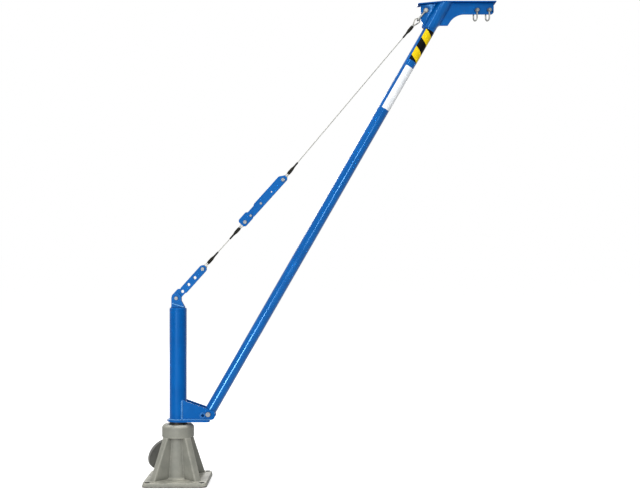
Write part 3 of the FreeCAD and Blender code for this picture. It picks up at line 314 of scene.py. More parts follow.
def powder_coat(name, gloss, rough, wave, edge=0.0, reach=0.002):
    """Blue powder coat: a soft orange peel, the slow waves of the steel under it, painted shade in its
    inner corners and a painted highlight on its edges.

    The wave's height is in metres; edge is how strongly the painted highlight lightens the coat within
    reach of an edge."""
    material, tree, shader = finish(name, gloss=gloss, tint=rgb(140, 205, 255))
    cloud = spread(tree, object_noise(tree, 9.0, 3.0), 0.3, 0.7, 0.0, 1.0)
    blue = mixed(tree, cloud, rgb(0, 78, 150), rgb(2, 87, 162))
    # Painted shade in inner corners.
    blue = mixed(tree, place(tree, painted_corner_shade, Reach=0.02, Amount=0.4)["Grime"], blue, rgb(0, 40, 86))
    if edge:
        # Painted highlight: pale blue on edges.
        edge_highlight = place(tree, painted_edge_light, Reach=reach, Amount=edge)["Wear"]
        blue = mixed(tree, edge_highlight, blue, rgb(120, 180, 232))
    peel = math_of(tree, "MULTIPLY", object_noise(tree, 240.0, 1.0), PEEL_HEIGHT / wave)
    relief = math_of(tree, "ADD", peel, object_noise(tree, 16.0, 1.0))
    join(tree, shader, Base_Color=blue, Roughness=spread(tree, cloud, 0.0, 1.0, rough, rough + 0.07),
         Normal=raised(tree, relief, wave))
    return material


blue_tube = powder_coat("blue_tube_coat", 0.48, 0.14, 0.0003)
blue_mast = powder_coat("blue_mast_coat", 0.2, 0.36, 0.0003)
# Plates, lock bosses and welds are lightened at their edges by the painted highlight, the welds most.
blue_plate = powder_coat("blue_plate_coat", 0.18, 0.3, 0.0012, 0.55)
blue_boss = powder_coat("blue_boss_coat", 0.3, 0.25, 0.0003, 0.45, 0.004)
blue_weld = powder_coat("blue_weld_coat", 0.3, 0.25, 0.0003, 1.0, 0.007)

spigot_steel, _tree, _shader = finish("spigot_steel", 1.0)
_at = node(_tree, "TexCoord", {}).outputs["Object"]
_turned = node(_tree, "Mapping", {"Vector": _at, "Scale": (1.0, 1.0, 900.0)}).outputs["Vector"]
_lines = node(_tree, "TexNoise", {"Vector": _turned, "Scale": 1.0, "Detail": 2.0}).outputs["Fac"]
join(_tree, _shader, Base_Color=mixed(_tree, _lines, rgb(150, 150, 150), rgb(190, 190, 188)),
     Roughness=spread(_tree, _lines, 0.3, 0.7, 0.25, 0.4), Normal=raised(_tree, _lines, 0.00005, 0.4))
dress(spigot_steel, "spigot_tube", "boom_foot_bush")

FOOT_EDGE, BOSS_EDGE = 0.0014, 0.0022
rounded("mast_tube", "mast_tube_coated", blue_mast, TUBE_EDGE)
rounded("foot_plate", "mast_foot_plate", blue_plate, FOOT_EDGE)
for _side in ("front", "rear"):
    rounded("foot_side_plate_" + _side, "bracket_plate_" + _side, blue_plate, SHEET_EDGE)
rounded("lock_bosses", "lock_hole_bosses", blue_boss, BOSS_EDGE, segments=3)


def quads(rows, columns, closed):
    """Faces of a grid of points in row order; closed joins the last column to the first."""
    row = np.arange(rows - 1)[:, None] * columns
    column = np.arange(columns if closed else columns - 1)[None, :]
    after = (column + 1) % columns
    return np.stack([row + column, row + after, row + columns + after, row + columns + column],
                    axis=-1).reshape(-1, 4)


def tube(path, across, reach, sides):
    """Tube along a path: a circle of each point's own reach, square to the path, with closed ends."""
    forward = np.gradient(path, axis=0)
    forward /= np.linalg.norm(forward, axis=1)[:, None]
    first = np.cross(forward, across)
    first /= np.linalg.norm(first, axis=1)[:, None]
    second = np.cross(forward, first)
    angle = np.linspace(0.0, 2 * math.pi, sides, endpoint=False)
    ring = np.cos(angle)[None, :, None] * first[:, None] + np.sin(angle)[None, :, None] * second[:, None]
    points = path[:, None] + ring * reach[:, None, None]
    faces = quads(len(path), sides, True).tolist()
    last = (len(path) - 1) * sides
    return points.reshape(-1, 3), faces + [list(range(sides))[::-1], list(range(last, last + sides))]


def even_line(points, step):
    """The same line with points an even step apart, and the length along it at each."""
    along = np.concatenate([[0.0], np.cumsum(np.linalg.norm(np.diff(points, axis=0), axis=1))])
    places = np.linspace(0.0, along[-1], max(3, int(round(along[-1] / step)) + 1))
    return np.stack([np.interp(places, along, points[:, i]) for i in range(3)], axis=1), places


def solid(name, parts, material, body):
    """New piece of one or more closed shells, each given as points and faces."""
    starts = np.cumsum([0] + [len(points) for points, faces in parts])
    faces = [[index + start for index in face] for (points, face_list), start in zip(parts, starts.tolist())
             for face in face_list]
    mesh = bpy.data.meshes.new(name)
    mesh.from_pydata(np.concatenate([points for points, face_list in parts]).tolist(), [], faces)
    form = bmesh.new()
    form.from_mesh(mesh)
    bmesh.ops.recalc_face_normals(form, faces=form.faces)
    form.to_mesh(mesh)
    form.free()
    mesh.materials.append(material)
    smooth(mesh)
    made = bpy.data.objects.new(name, mesh)
    bpy.context.scene.collection.objects.link(made)
    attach(made, body)
    return made


BEAD_STEP = 0.0007


def bead(points, reach, across, ripple=0.0042, run=0.02):
    """Weld bead: a tube whose reach swells with each ripple and each short run, and tapers at both ends."""
    path, along = even_line(np.array(points), BEAD_STEP)
    swell = 0.84 + 0.2 * np.sin(math.pi * (along / ripple % 1.0)) ** 0.6
    swell *= 0.82 + 0.3 * np.sin(math.pi * (along / run % 1.0)) ** 0.5
    swell *= reach
    ends = np.clip(np.minimum(along, along[-1] - along) / (2 * reach), 0.15, 1.0)
    return tube(path, np.array(across), swell * np.sqrt(ends), 10)


def level_arc(height, radius, start, end):
    """Arc about the mast's axis at a height, between two angles in degrees."""
    angle = np.radians(np.linspace(start, end, 181))
    return np.stack([radius * np.cos(angle), radius * np.sin(angle), np.full(len(angle), height)], axis=1)


FOOT_TOP = 0.324
MAST_RADIUS = 0.04445
BRACKET_FACE = 0.037
UPRIGHT, SIDEWAYS = (0.0, 0.0, 1.0), (0.0, 1.0, 0.0)
RING_REACH, RING_RISE, RING_START, RING_END = 0.0032, 0.0006, 58.0, 302.0
SEAM_REACH, SEAM_RIPPLE, SEAM_RUN, SEAM_TOP, SEAM_FOOT = 0.005, 0.0047, 0.014, 0.424, 0.328
TOE_REACH, TOE_START, TOE_END = 0.0048, 0.004, 0.172
BEAD_RISE = 0.0004
_seam = math.sqrt(MAST_RADIUS ** 2 - BRACKET_FACE ** 2)
_ring = level_arc(FOOT_TOP + RING_RISE, MAST_RADIUS + RING_RISE, RING_START, RING_END)
_beads = [bead(_ring, RING_REACH, UPRIGHT)]
for _side in (-1, 1):
    _x, _y, _z = _seam - BEAD_RISE, _side * (BRACKET_FACE + BEAD_RISE), FOOT_TOP + BEAD_RISE
    _beads.append(bead([(_x, _y, SEAM_TOP), (_x, _y, SEAM_FOOT)], SEAM_REACH, SIDEWAYS,
                       SEAM_RIPPLE, SEAM_RUN))
    _beads.append(bead([(_seam + TOE_START, _y, _z), (TOE_END, _y, _z)], TOE_REACH, UPRIGHT))
# The weld coat's strong painted highlight lightens the beads.
solid("mast_foot_welds", _beads, blue_weld, "mast")

# Mast head. A closing plate with two upright lugs for the pin of the stay, and a slanted cover that
# sheds rain, welded on the top of the tube and coated with it.

COVER_EDGE = 0.0018
rounded("mast_top_plate", "mast_closing_plate", blue_mast, BAR_EDGE)
for _side in ("front", "rear"):
    rounded("mast_lug_" + _side, "stay_lug_" + _side, blue_plate, SHEET_EDGE)
# The rain cover takes the weld coat, so its edges carry a strong painted highlight.
rounded("rain_cover", "mast_rain_cover", blue_weld, COVER_EDGE, segments=3)
MAST_TOP, HEAD_BEAD_REACH, HEAD_BEAD_SINK = 0.890, 0.0011, 0.0006
_ring = level_arc(MAST_TOP, MAST_RADIUS - HEAD_BEAD_SINK, 0.0, 360.0)
solid("mast_head_weld", [bead(_ring, HEAD_BEAD_REACH, UPRIGHT)], blue_mast, "mast")

# Boom. A long steel tube, coated blue, pinned in the bracket at its foot on a bare steel bush.

rounded("boom_tube", "boom_tube_coated", blue_tube, TUBE_EDGE)

# Warning band and plain label. Two vinyl stickers laid round the front and lower side of the boom:
# yellow and black stripes near the head, and a bare white strip below them.

BOOM_PIN = np.array([0.160, 0.0, 0.3527])
BOOM_ANGLE = math.radians(60.1)
BOOM_AXIS = np.array([math.cos(BOOM_ANGLE), 0.0, math.sin(BOOM_ANGLE)])
BOOM_LOWER = np.array([math.sin(BOOM_ANGLE), 0.0, -math.cos(BOOM_ANGLE)])
BOOM_FRONT = np.array([0.0, -1.0, 0.0])
BOOM_RADIUS = 0.03015
VINYL_OUTSIDE, VINYL_RIM = BOOM_RADIUS + 0.0003, BOOM_RADIUS - 0.0002


def sticker(name, start, end, first, last, material):
    """Vinyl on the boom: a grid of length along it by angle round it, with its rim laid down.

    The UV map holds the length from the sticker's lower end and the arc from the boom's front."""
    along = np.linspace(start, end, 60)
    angle = np.radians(np.linspace(first, last, 64))
    reach = np.full((len(along), len(angle)), VINYL_OUTSIDE)
    reach[[0, -1]] = reach[:, [0, -1]] = VINYL_RIM
    out = np.cos(angle)[:, None] * BOOM_FRONT + np.sin(angle)[:, None] * BOOM_LOWER
    points = BOOM_PIN + along[:, None, None] * BOOM_AXIS + reach[..., None] * out[None]
    mesh = bpy.data.meshes.new(name)
    mesh.from_pydata(points.reshape(-1, 3).tolist(), [], quads(len(along), len(angle), False).tolist())
    flat = np.stack(np.meshgrid(along - start, angle * BOOM_RADIUS, indexing="ij"), axis=-1).reshape(-1, 2)
    corners = np.zeros(len(mesh.loops), dtype=np.int32)
    mesh.loops.foreach_get("vertex_index", corners)
    mesh.uv_layers.new(name="wrap").data.foreach_set("uv", flat[corners].astype(np.float32).ravel())
    mesh.materials.append(material)
    mesh.polygons.foreach_set("use_smooth", np.ones(len(mesh.polygons), dtype=bool))
    made = bpy.data.objects.new(name, mesh)
    bpy.context.scene.collection.objects.link(made)
    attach(made, "boom")


STRIPE_PITCH = 0.103
STRIPE_SLOPE = 0.52
STRIPE_START = 0.0185
stripes, _tree, _shader = finish("stripe_vinyl", gloss=0.06)
_wrap = node(_tree, "SeparateXYZ", {0: node(_tree, "UVMap", {}, uv_map="wrap").outputs["UV"]}).outputs
_slant = math_of(_tree, "MULTIPLY_ADD", _wrap["Y"], STRIPE_SLOPE)
_slant.node.inputs[2].default_value = -STRIPE_START
_count = math_of(_tree, "DIVIDE", math_of(_tree, "ADD", _wrap["X"], _slant), STRIPE_PITCH)
_phase = node(_tree, "Math", {0: _count}, operation="FRACT").outputs[0]
_cloud = object_noise(_tree, 40.0)
_black = node(_tree, "Math", {0: _phase, 1: 0.5}, operation="GREATER_THAN").outputs[0]
_yellow = mixed(_tree, _cloud, rgb(226, 190, 14), rgb(238, 208, 26))
join(_tree, _shader, Base_Color=mixed(_tree, _black, _yellow, rgb(3, 3, 2)),
     Roughness=spread(_tree, _cloud, 0.3, 0.7, 0.32, 0.44))
sticker("stripe_band", 2.120, 2.305, -34.0, 122.0, stripes)

label_white, _tree, _shader = finish("label_vinyl", gloss=0.3)
_cloud = spread(_tree, object_noise(_tree, 30.0), 0.3, 0.7, 0.0, 1.0)
join(_tree, _shader, Base_Color=mixed(_tree, _cloud, rgb(232, 236, 240), rgb(246, 248, 250)),
     Roughness=spread(_tree, _cloud, 0.0, 1.0, 0.34, 0.46),
     Normal=raised(_tree, object_noise(_tree, 120.0), 0.0001, 0.4))
sticker("plain_label", 1.832, 2.088, -28.0, 118.0, label_white)

# Boom head. Two mirrored cheeks pressed from sheet, swaged over the boom and bent out at the top
# into lips, whose undersides are coloured a dark matt blue as painted shade. They lie back to back
# beside the boom and carry the shackles.

# Painted shade: the downward faces of the lips take this dark matt blue.
lip_underside_shade, _tree, _shader = finish("lip_underside_shade", gloss=0.02)
_cloud = spread(_tree, object_noise(_tree, 30.0, 4.0), 0.3, 0.7, 0.0, 1.0)
join(_tree, _shader, Base_Color=mixed(_tree, _cloud, rgb(0, 54, 118), rgb(2, 64, 132)),
     Roughness=spread(_tree, _cloud, 0.0, 1.0, 0.6, 0.75))
LIP_HEIGHT, LIP_FACING = 2.47, -0.7
for _side in ("front", "rear"):
    _mesh = rounded("head_cheek_" + _side, "head_cheek_pressed_" + _side, blue_tube, SHEET_EDGE).data
    _mesh.materials.append(lip_underside_shade)
    _facing, _middle = np.zeros((2, len(_mesh.polygons), 3))
    _mesh.polygons.foreach_get("normal", _facing.reshape(-1))
    _mesh.polygons.foreach_get("center", _middle.reshape(-1))
    _under = (_facing[:, 2] < LIP_FACING) & (_middle[:, 2] > LIP_HEIGHT)
    _mesh.polygons.foreach_set("material_index", _under.astype(np.int32))

# Liners and plug of the head. A thin coated ring lies in each wide shackle hole, slanted with the pin,
# and a small domed plug closes the hole that the press left.

ANCHOR_PINS, ANCHOR_HEIGHT, ANCHOR_YAW = (1.550803, 1.614803), 2.455763, math.radians(26.0)
ANCHOR_HOLE_RISE = 0.0025
LINER_REACH, LINER_BORE, LINER_NEAR, LINER_FAR = 0.00905, 0.0055, 0.002, 0.0042
LINER_SIDES = 48
PLUG_CENTRE = np.array([1.493803, 0.0, 2.451263])
PLUG_PROFILE = np.array([(0.0056, 0.0014), (0.0054, 0.003), (0.005, 0.00402)])


def liner(pin, near, far):
    """Ring along Y: a round rim, and an oval bore set over to where the slanted pin crosses it."""
    turn = np.linspace(0.0, 2 * math.pi, LINER_SIDES, endpoint=False)
    ring = np.stack([np.cos(turn), np.zeros(LINER_SIDES), np.sin(turn)], axis=1)
    over = -math.tan(ANCHOR_YAW) * (near + far) / 2
    oval = LINER_BORE / math.cos(ANCHOR_YAW) + abs(far - near) / 2 * math.tan(ANCHOR_YAW)
    bore = ring * (oval, 0.0, LINER_BORE) + (over, 0.0, 0.0)
    rim = ring * LINER_REACH + (0.0, 0.0, ANCHOR_HOLE_RISE)
    rows = np.stack([bore, rim, rim, bore])
    rows[:2, :, 1], rows[2:, :, 1] = near, far
    return rows.reshape(-1, 3) + pin, (quads(5, LINER_SIDES, True) % (4 * LINER_SIDES)).tolist()


_parts = [liner(np.array([_x, 0.0, ANCHOR_HEIGHT]), _side * LINER_NEAR, _side * LINER_FAR)
          for _x in ANCHOR_PINS for _side in (-1, 1)]
_dome = np.concatenate([PLUG_PROFILE * (-1, 1), PLUG_PROFILE[::-1]])
_parts.append(tube(PLUG_CENTRE + _dome[:, :1] * np.array(SIDEWAYS), np.array(UPRIGHT), _dome[:, 1], 32))
solid("head_liners_and_plug", _parts, blue_tube, "boom")

# Stay link and adjuster. Flat bars, straps and a bent channel, coated blue, on clamping bolts. The
# clamp bolt rides in a slot of the inner straps, so the stay can be set longer.

for _name in ("anchor_strap", "link_bar_front", "link_bar_rear", "adjuster_strap_front",
              "adjuster_strap_rear", "adjuster_channel"):
    rounded(_name, _name + "_coated", blue_plate, BAR_EDGE)
dress(blue_plate, "link_spacers")
dress(zinc, "rope_pin_spacers")

# Bolts and nuts. Plated hexagon bolts with chamfered heads and nuts, and the thread's end showing.

M8, M10, M12, M16 = 0.008, 0.010, 0.012, 0.016
HEX_FLATS, HEX_CROWN, HEX_HEAD, HEX_NUT, HEX_TIP = 1.5, 0.47, 0.65, 0.8, 0.2
THREAD_PITCH, THREAD_DEPTH = 0.125, 0.055
CHAMFER_SLOPE = 0.577
NUT_BORE_GAP = 0.00005
TURN = np.linspace(0.0, 2 * math.pi, 48, endpoint=False)


def hex_reach(flats):
    """Distance of a hexagon's side from its middle, all round."""
    return flats / 2 / np.cos(TURN % (math.pi / 3) - math.pi / 6)


def lathe(rows, closed):
    """Shell round the Y axis from rows of reach and height; either may change round the turn."""
    reach = np.stack([np.broadcast_to(row[0], TURN.shape) for row in rows])
    height = np.stack([np.broadcast_to(row[1], TURN.shape) for row in rows])
    points = np.stack([reach * np.cos(TURN), height, reach * np.sin(TURN)], axis=-1)
    faces = quads(len(rows), len(TURN), True)
    if closed:
        last = quads(2, len(TURN), True)
        wrap = np.where(last < len(TURN), last + (len(rows) - 1) * len(TURN), last - len(TURN))
        return points.reshape(-1, 3), np.concatenate([faces, wrap]).tolist()
    count = len(TURN)
    ends = [list(range(count)), list(range((len(rows) - 1) * count, len(rows) * count))]
    return points.reshape(-1, 3), faces.tolist() + ends


def bolt_shell(thread, front, rear):
    """Bolt along Y: chamfered head before front, plain shank, and a thread that shows past the nut."""
    flats, top = HEX_FLATS * thread, front - HEX_HEAD * thread
    side, crown = hex_reach(flats), HEX_CROWN * flats
    end = rear + (HEX_NUT + HEX_TIP) * thread
    pitch, depth = THREAD_PITCH * thread, THREAD_DEPTH * thread
    rows = [(crown / 2, top), (crown, top), (side, top + (side - crown) * CHAMFER_SLOPE), (side, front),
            (thread / 2, front)]
    for height in np.arange(rear + HEX_NUT * thread - pitch, end - depth, pitch / 5):
        wave = np.abs(((height / pitch - TURN / (2 * math.pi)) % 1.0) * 2 - 1)
        rows.append((thread / 2 - depth * wave, height))
    rows += [(thread / 2 - depth, end - depth * 0.6), (thread / 2 - 2.2 * depth, end)]
    return lathe(rows, False)


def nut_shell(thread, rear):
    """Nut along Y from rear on, chamfered on both faces and countersunk at its bore."""
    flats, top = HEX_FLATS * thread, rear + HEX_NUT * thread
    side, crown, bore = hex_reach(flats), HEX_CROWN * flats, thread / 2 + NUT_BORE_GAP
    slope = (side - crown) * CHAMFER_SLOPE
    rows = [(bore, rear), (crown, rear), (side, rear + slope), (side, top - slope), (crown, top),
            (bore * 1.08, top), (bore, top - bore * 0.08)]
    return lathe(rows, True)


def stand(shell, point, turn=None):
    """Shell set at a point of the object, after a turn."""
    points, faces = shell
    return (points if turn is None else points @ np.array(turn).T) + np.array(point), faces


def fasteners(bolt_node, nut_node, places, turn=None, coat=zinc):
    """Plated bolts and nuts that stand for two CAD nodes; a place is its point, thread and half grip."""
    bolts = [stand(bolt_shell(thread, -grip, grip), point, turn) for point, thread, grip in places]
    nuts = [stand(nut_shell(thread, grip), point, turn) for point, thread, grip in places]
    for cad_node, parts in ((bolt_node, bolts), (nut_node, nuts)):
        made = solid(cad_node + "_plated", parts, coat, BODY_OF[cad_node])
        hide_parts(cad_node)


STAY_PIN = np.array([-0.008, 0.0, 0.954])
STAY_ANGLE = math.radians(48.0)
STAY_AXIS = np.array([math.cos(STAY_ANGLE), 0.0, math.sin(STAY_ANGLE)])
STAY_UP = np.array([-math.sin(STAY_ANGLE), 0.0, math.cos(STAY_ANGLE)])
LINK_ROPE_PIN, LOWER_ROPE_PIN, UPPER_ROPE_PIN = 0.205, 0.534, 0.8306
STRAP_BOLT, CLAMP_BOLT, CLAMP_RISE = LOWER_ROPE_PIN + 0.045, LOWER_ROPE_PIN + 0.128, 0.003
LUG_FACE, LINK_FACE, STRAP_FACE, CHANNEL_FACE = 0.0145, 0.012, 0.010, 0.0155


def stay_point(along, above=0.0):
    """Point of the stay: along it from its pin on the mast, and square above it."""
    return STAY_PIN + along * STAY_AXIS + above * STAY_UP


fasteners("boom_pin", "boom_pin_nut", [(BOOM_PIN, M16, BRACKET_FACE)])
fasteners("stay_pin", "stay_pin_nut", [(STAY_PIN, M12, LUG_FACE)])
fasteners("link_bolt", "link_nut", [(stay_point(LINK_ROPE_PIN), M12, LINK_FACE)])
fasteners("strap_bolts", "strap_nuts", [(stay_point(LOWER_ROPE_PIN), M12, STRAP_FACE),
                                        (stay_point(STRAP_BOLT), M8, STRAP_FACE)])
fasteners("channel_bolts", "channel_nuts", [(stay_point(CLAMP_BOLT, CLAMP_RISE), M8, CHANNEL_FACE),
                                            (stay_point(UPPER_ROPE_PIN), M12, CHANNEL_FACE)])

# Shackles. Forged bows on plated bolts: one ties the long rope to the back of the head, and two hang
# under its nose, turned in their wide holes, for the hook of a hoist.

bright_zinc = plating("bright_zinc", rgb(118, 120, 120), rgb(166, 166, 160), 0.4)
STAY_BOLT = np.array([1.291803, 0.0, 2.453263])
STAY_BOW_FACE, ANCHOR_BOW_FACE = 0.018, 0.021
ROPE_AXIS = STAY_BOLT - stay_point(UPPER_ROPE_PIN)
ROPE_AXIS /= np.linalg.norm(ROPE_AXIS)
_across, _ahead = ROPE_AXIS[0], ROPE_AXIS[2]
fasteners("stay_shackle_bolt", "stay_shackle_nut", [(STAY_BOLT, M12, STAY_BOW_FACE)],
          [[_ahead, 0, _across], [0, 1, 0], [-_across, 0, _ahead]], bright_zinc)
_across, _ahead = math.sin(ANCHOR_YAW), math.cos(ANCHOR_YAW)
for _number, _x in enumerate(ANCHOR_PINS, 1):
    _name = "anchor_shackle_%d_" % _number
    fasteners(_name + "pin", _name + "nut", [((_x, 0.0, ANCHOR_HEIGHT), M10, ANCHOR_BOW_FACE)],
              [[_ahead, -_across, 0], [_across, _ahead, 0], [0, 0, 1]], bright_zinc)
dress(bright_zinc, "stay_shackle_bow", "anchor_shackle_1_bow", "anchor_shackle_2_bow")

# Wire ropes of the stay. Six galvanised strands laid round a core, 5 mm over all, turned back round
# a thimble at each end and pressed into a ferrule under a black sleeve.

ROPE_DIAMETER = 0.005
ROPE_LAY, STRAND_REACH, STRANDS = 0.034, 0.00088, 6
ROPE_STEP = 0.0024
ROPE_EYE = np.array([(40.0, -2.65), (33.0, -2.65), (-0.5, -15.3), (-11.0, -10.6), (-15.3, 0.0),
                     (-11.0, 10.6), (-0.5, 15.3), (33.0, 2.65), (54.0, 0.0), (146.0, 0.0)]) / 1000


def rope_line(name, lower_eye, upper_eye):
    """Points along the NURBS spline of a rope whose eyes have these centres.

    Each eye's control points are its dead end, the turn round the thimble, the mouth of the ferrule
    and the first of the straight run; the upper eye has the same points, turned about."""
    axis = (upper_eye - lower_eye) / np.linalg.norm(upper_eye - lower_eye)
    side = np.array([-axis[2], 0.0, axis[0]])
    lower = lower_eye + ROPE_EYE[:, :1] * axis + ROPE_EYE[:, 1:] * side
    upper = upper_eye - ROPE_EYE[:, :1] * axis - ROPE_EYE[:, 1:] * side
    control = np.concatenate([lower, upper[::-1]])
    curve = bpy.data.curves.new(name, "CURVE")
    curve.dimensions = "3D"
    curve.resolution_u = 12
    spline = curve.splines.new("NURBS")
    spline.points.add(len(control) - 1)
    spline.points.foreach_set("co", np.c_[control, np.ones(len(control))].ravel())
    spline.order_u = 3
    spline.use_endpoint_u = True
    line = bpy.data.objects.new(name, curve)
    mesh = bpy.data.meshes.new_from_object(line)
    points = np.zeros(len(mesh.vertices) * 3)
    mesh.vertices.foreach_get("co", points)
    bpy.data.objects.remove(line)
    bpy.data.meshes.remove(mesh)
    return points.reshape(-1, 3)


def strand(points, places, number):
    """One strand, or the core: its centre goes round the rope's line as a helix."""
    forward = np.gradient(points, axis=0)
    forward /= np.linalg.norm(forward, axis=1)[:, None]
    across = np.array([0.0, 1.0, 0.0])
    up = np.cross(forward, across)
    out = ROPE_DIAMETER / 2 - STRAND_REACH if number < STRANDS else 0.0
    angle = (2 * math.pi * (number / STRANDS + places / ROPE_LAY))[:, None]
    centre = points + out * (np.cos(angle) * across + np.sin(angle) * up)
    return tube(centre, across, np.full(len(points), STRAND_REACH), 7)


SLEEVE_START, SLEEVE_LENGTH, FOLD_DEPTH = 0.034, 0.082, 0.00018
SLEEVE_HEIGHTS = [0.0, 0.003, 0.012, 0.034, 0.053, 0.08, SLEEVE_LENGTH]
SLEEVE_REACHES = [0.0062, 0.0074, 0.009, 0.0086, 0.0049, 0.0044, 0.0031]


def sleeve_shell(eye, axis):
    """Shrunk sleeve: a circle carried along the rope, whose reach follows the ferrule and then the rope.

    The reach is evened over nine rows, and fine folds run round it where the tube has shrunk."""
    height = np.linspace(0.0, SLEEVE_LENGTH, 124)
    reach = np.interp(height, SLEEVE_HEIGHTS, SLEEVE_REACHES)
    reach = np.convolve(np.pad(reach, 4, mode="edge"), np.full(9, 1 / 9), mode="valid")
    folds = FOLD_DEPTH * np.sin(height * 2100 + 2.0 * np.sin(height * 530))
    rows = list(zip(reach + folds, SLEEVE_START + height))
    side = np.array([axis[2], 0.0, -axis[0]])
    return stand(lathe(rows, False), eye, np.stack([side, axis, [0.0, 1.0, 0.0]], axis=1))


sleeve_black, _tree, _shader = finish("sleeve_black", gloss=0.12)
_cloud = object_noise(_tree, 160.0)
join(_tree, _shader, Base_Color=mixed(_tree, _cloud, rgb(8, 8, 5), rgb(26, 25, 15)),
     Roughness=spread(_tree, _cloud, 0.3, 0.7, 0.4, 0.55),
     Normal=raised(_tree, object_noise(_tree, 260.0), 0.0004, 0.5))
rope_steel, _tree, _shader = finish("rope_steel", 0.9)
_cloud = object_noise(_tree, 300.0)
join(_tree, _shader, Base_Color=mixed(_tree, _cloud, rgb(140, 140, 134), rgb(176, 175, 168)),
     Roughness=spread(_tree, _cloud, 0.3, 0.7, 0.28, 0.42))


def lay_rope(name, cad_node, lower_eye, upper_eye):
    """Rope between two eyes, with the sleeves pressed on it."""
    axis = (upper_eye - lower_eye) / np.linalg.norm(upper_eye - lower_eye)
    shells = [sleeve_shell(lower_eye, axis), sleeve_shell(upper_eye, -axis)]
    sleeves = solid(cad_node + "_shrunk_sleeves", shells, sleeve_black, BODY_OF[cad_node])
    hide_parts(cad_node + "_sleeves")
    points, places = even_line(rope_line(name, lower_eye, upper_eye), ROPE_STEP)
    strands = [strand(points, places, number) for number in range(STRANDS + 1)]
    made = solid(name, strands, rope_steel, BODY_OF[cad_node])
    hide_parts(cad_node)


PIN_SEAT, BOW_SEAT, STAY_REACH = 0.0032, 0.0033, 0.065
lay_rope("short_rope_strands", "short_rope", stay_point(LINK_ROPE_PIN + PIN_SEAT),
         stay_point(LOWER_ROPE_PIN - PIN_SEAT))
lay_rope("long_rope_strands", "long_rope", stay_point(UPPER_ROPE_PIN) + ROPE_AXIS * PIN_SEAT,
         STAY_BOLT - ROPE_AXIS * (STAY_REACH + BOW_SEAT))

ferrule_grey, _tree, _shader = finish("ferrule_grey", 1.0)
_cloud = spread(_tree, object_noise(_tree, 220.0, 4.0), 0.3, 0.7, 0.0, 1.0)
join(_tree, _shader, Base_Color=mixed(_tree, _cloud, rgb(138, 139, 141), rgb(168, 169, 170)),
     Roughness=spread(_tree, _cloud, 0.0, 1.0, 0.34, 0.5),
     Normal=raised(_tree, object_noise(_tree, 400.0), 0.0002, 0.5))
thimble_steel, _tree, _shader = finish("thimble_steel", 1.0)
_cloud = spread(_tree, object_noise(_tree, 150.0, 4.0), 0.3, 0.7, 0.0, 1.0)
_plate = mixed(_tree, _cloud, rgb(92, 92, 90), rgb(150, 149, 142))
# Painted shade: dark brown in the corners where thimble, rope and bow meet.
_plate = mixed(_tree, place(_tree, painted_corner_shade, Reach=0.02, Amount=1.0)["Grime"], _plate, rgb(24, 20, 14))
join(_tree, _shader, Base_Color=_plate, Roughness=spread(_tree, _cloud, 0.0, 1.0, 0.3, 0.5))
for _name in ("short_rope", "long_rope"):
    dress(thimble_steel, _name + "_thimbles")
    dress(ferrule_grey, _name + "_ferrules")

# Studio. A pale floor that runs into a white surround, two narrow lamps that draw the bright lines on
# the boom and its head, wider lamps before, above and behind the object, and the camera.

SURROUND_LIGHT = 0.25
world = bpy.data.worlds.new("surround")
bpy.context.scene.world = world
world.use_nodes = True
_tree = world.node_tree
_tree.nodes.clear()


def seen_ray(tree):
    """1 for rays that the camera, a mirror or glass sends, and 0 for those that only light things."""
    path = node(tree, "LightPath", {}).outputs
    seen = math_of(tree, "MAXIMUM", path["Is Camera Ray"], path["Is Glossy Ray"])
    return math_of(tree, "MAXIMUM", seen, path["Is Transmission Ray"])


_level = node(_tree, "MapRange", {"Value": seen_ray(_tree), "To Min": SURROUND_LIGHT, "To Max": 1.0})
_back = node(_tree, "Background", {"Color": (1, 1, 1, 1), "Strength": _level.outputs["Result"]})
_tree.links.new(_back.outputs[0], node(_tree, "OutputWorld", {}).inputs["Surface"])

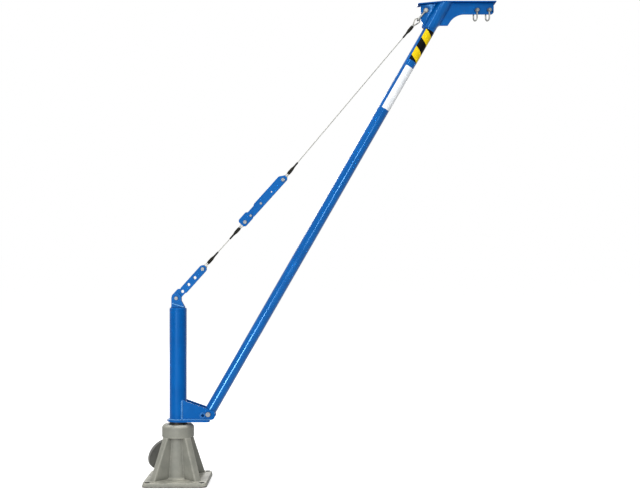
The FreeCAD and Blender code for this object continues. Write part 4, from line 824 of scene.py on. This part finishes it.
FLOOR_REACH = 80.0
FLOOR_WHITE = 0.6
floor_white, _tree, _shader = finish("floor_white")
_shader.inputs["Base Color"].default_value = (FLOOR_WHITE, FLOOR_WHITE, FLOOR_WHITE, 1.0)
_shader.inputs["Roughness"].default_value = 1.0
_shader.inputs["Specular IOR Level"].default_value = 0.0
_shader.inputs["Emission Color"].default_value = (1.0, 1.0, 1.0, 1.0)
# The floor's glow is dimmed by ambient occlusion: a painted contact shadow under and round the object.
_open = node(_tree, "AmbientOcclusion", {"Distance": 0.06}, samples=16).outputs["AO"]
_glow = math_of(_tree, "MULTIPLY", seen_ray(_tree), 1.0 - FLOOR_WHITE * SURROUND_LIGHT)
join(_tree, _shader, Emission_Strength=math_of(_tree, "MULTIPLY", _glow, _open))
_mesh = bpy.data.meshes.new("floor")
_corners = FLOOR_REACH * np.array([(-1, -1, 0), (1, -1, 0), (1, 1, 0), (-1, 1, 0)])
_mesh.from_pydata(_corners.tolist(), [], [(0, 1, 2, 3)])
_mesh.materials.append(floor_white)
_floor = bpy.data.objects.new("floor", _mesh)
bpy.context.scene.collection.objects.link(_floor)


def lamp(name, spot, aim, width, height, power, roll=0.0):
    """Oblong area lamp that looks at a point, rolled about its own line of sight."""
    light = bpy.data.lights.new(name, "AREA")
    light.shape = "RECTANGLE"
    light.size, light.size_y, light.energy = width, height, power
    made = bpy.data.objects.new(name, light)
    made.location = spot
    made.rotation_euler = (Vector(aim) - Vector(spot)).to_track_quat("-Z", "Y").to_euler()
    made.rotation_euler.rotate_axis("Z", roll)
    bpy.context.scene.collection.objects.link(made)


BOOM_LEAN = math.radians(-30.0)
lamp("boom_strip_lamp", (-1.9, -6.2, 0.74), (0.3, 0.0, 0.7), 0.24, 1.4, 225.0, BOOM_LEAN)
lamp("front_lamp", (1.25, -6.9, 1.75), (0.5, 0.0, 1.2), 0.6, 1.2, 140.0, BOOM_LEAN)
lamp("head_strip_lamp", (-1.05, -4.7, 5.3), (1.2, 0.0, 2.2), 0.12, 1.2, 60.0, BOOM_LEAN)
lamp("top_lamp", (0.4, 0.3, 5.4), (0.4, 0.0, 1.0), 2.0, 2.0, 120.0)
lamp("rear_lamp", (-0.5, 7.0, 3.2), (0.6, 0.0, 1.2), 2.0, 2.0, 120.0)

CAMERA_DISTANCE = 5.6
AIM = (0.7405, 0.0, 1.234)
PIXEL, PICTURE_WIDTH = 0.00522, 640
_camera = bpy.data.cameras.new("camera")
_camera.sensor_width = 36.0
_camera.lens = _camera.sensor_width * CAMERA_DISTANCE / (PIXEL * PICTURE_WIDTH)
_camera.clip_end = 300.0
_view = bpy.data.objects.new("camera", _camera)
_view.location = (AIM[0], -CAMERA_DISTANCE, AIM[2])
_view.rotation_euler = (math.pi / 2, 0.0, 0.0)
bpy.context.scene.collection.objects.link(_view)
bpy.context.scene.camera = _view
bpy.context.scene.view_settings.view_transform = "Standard"
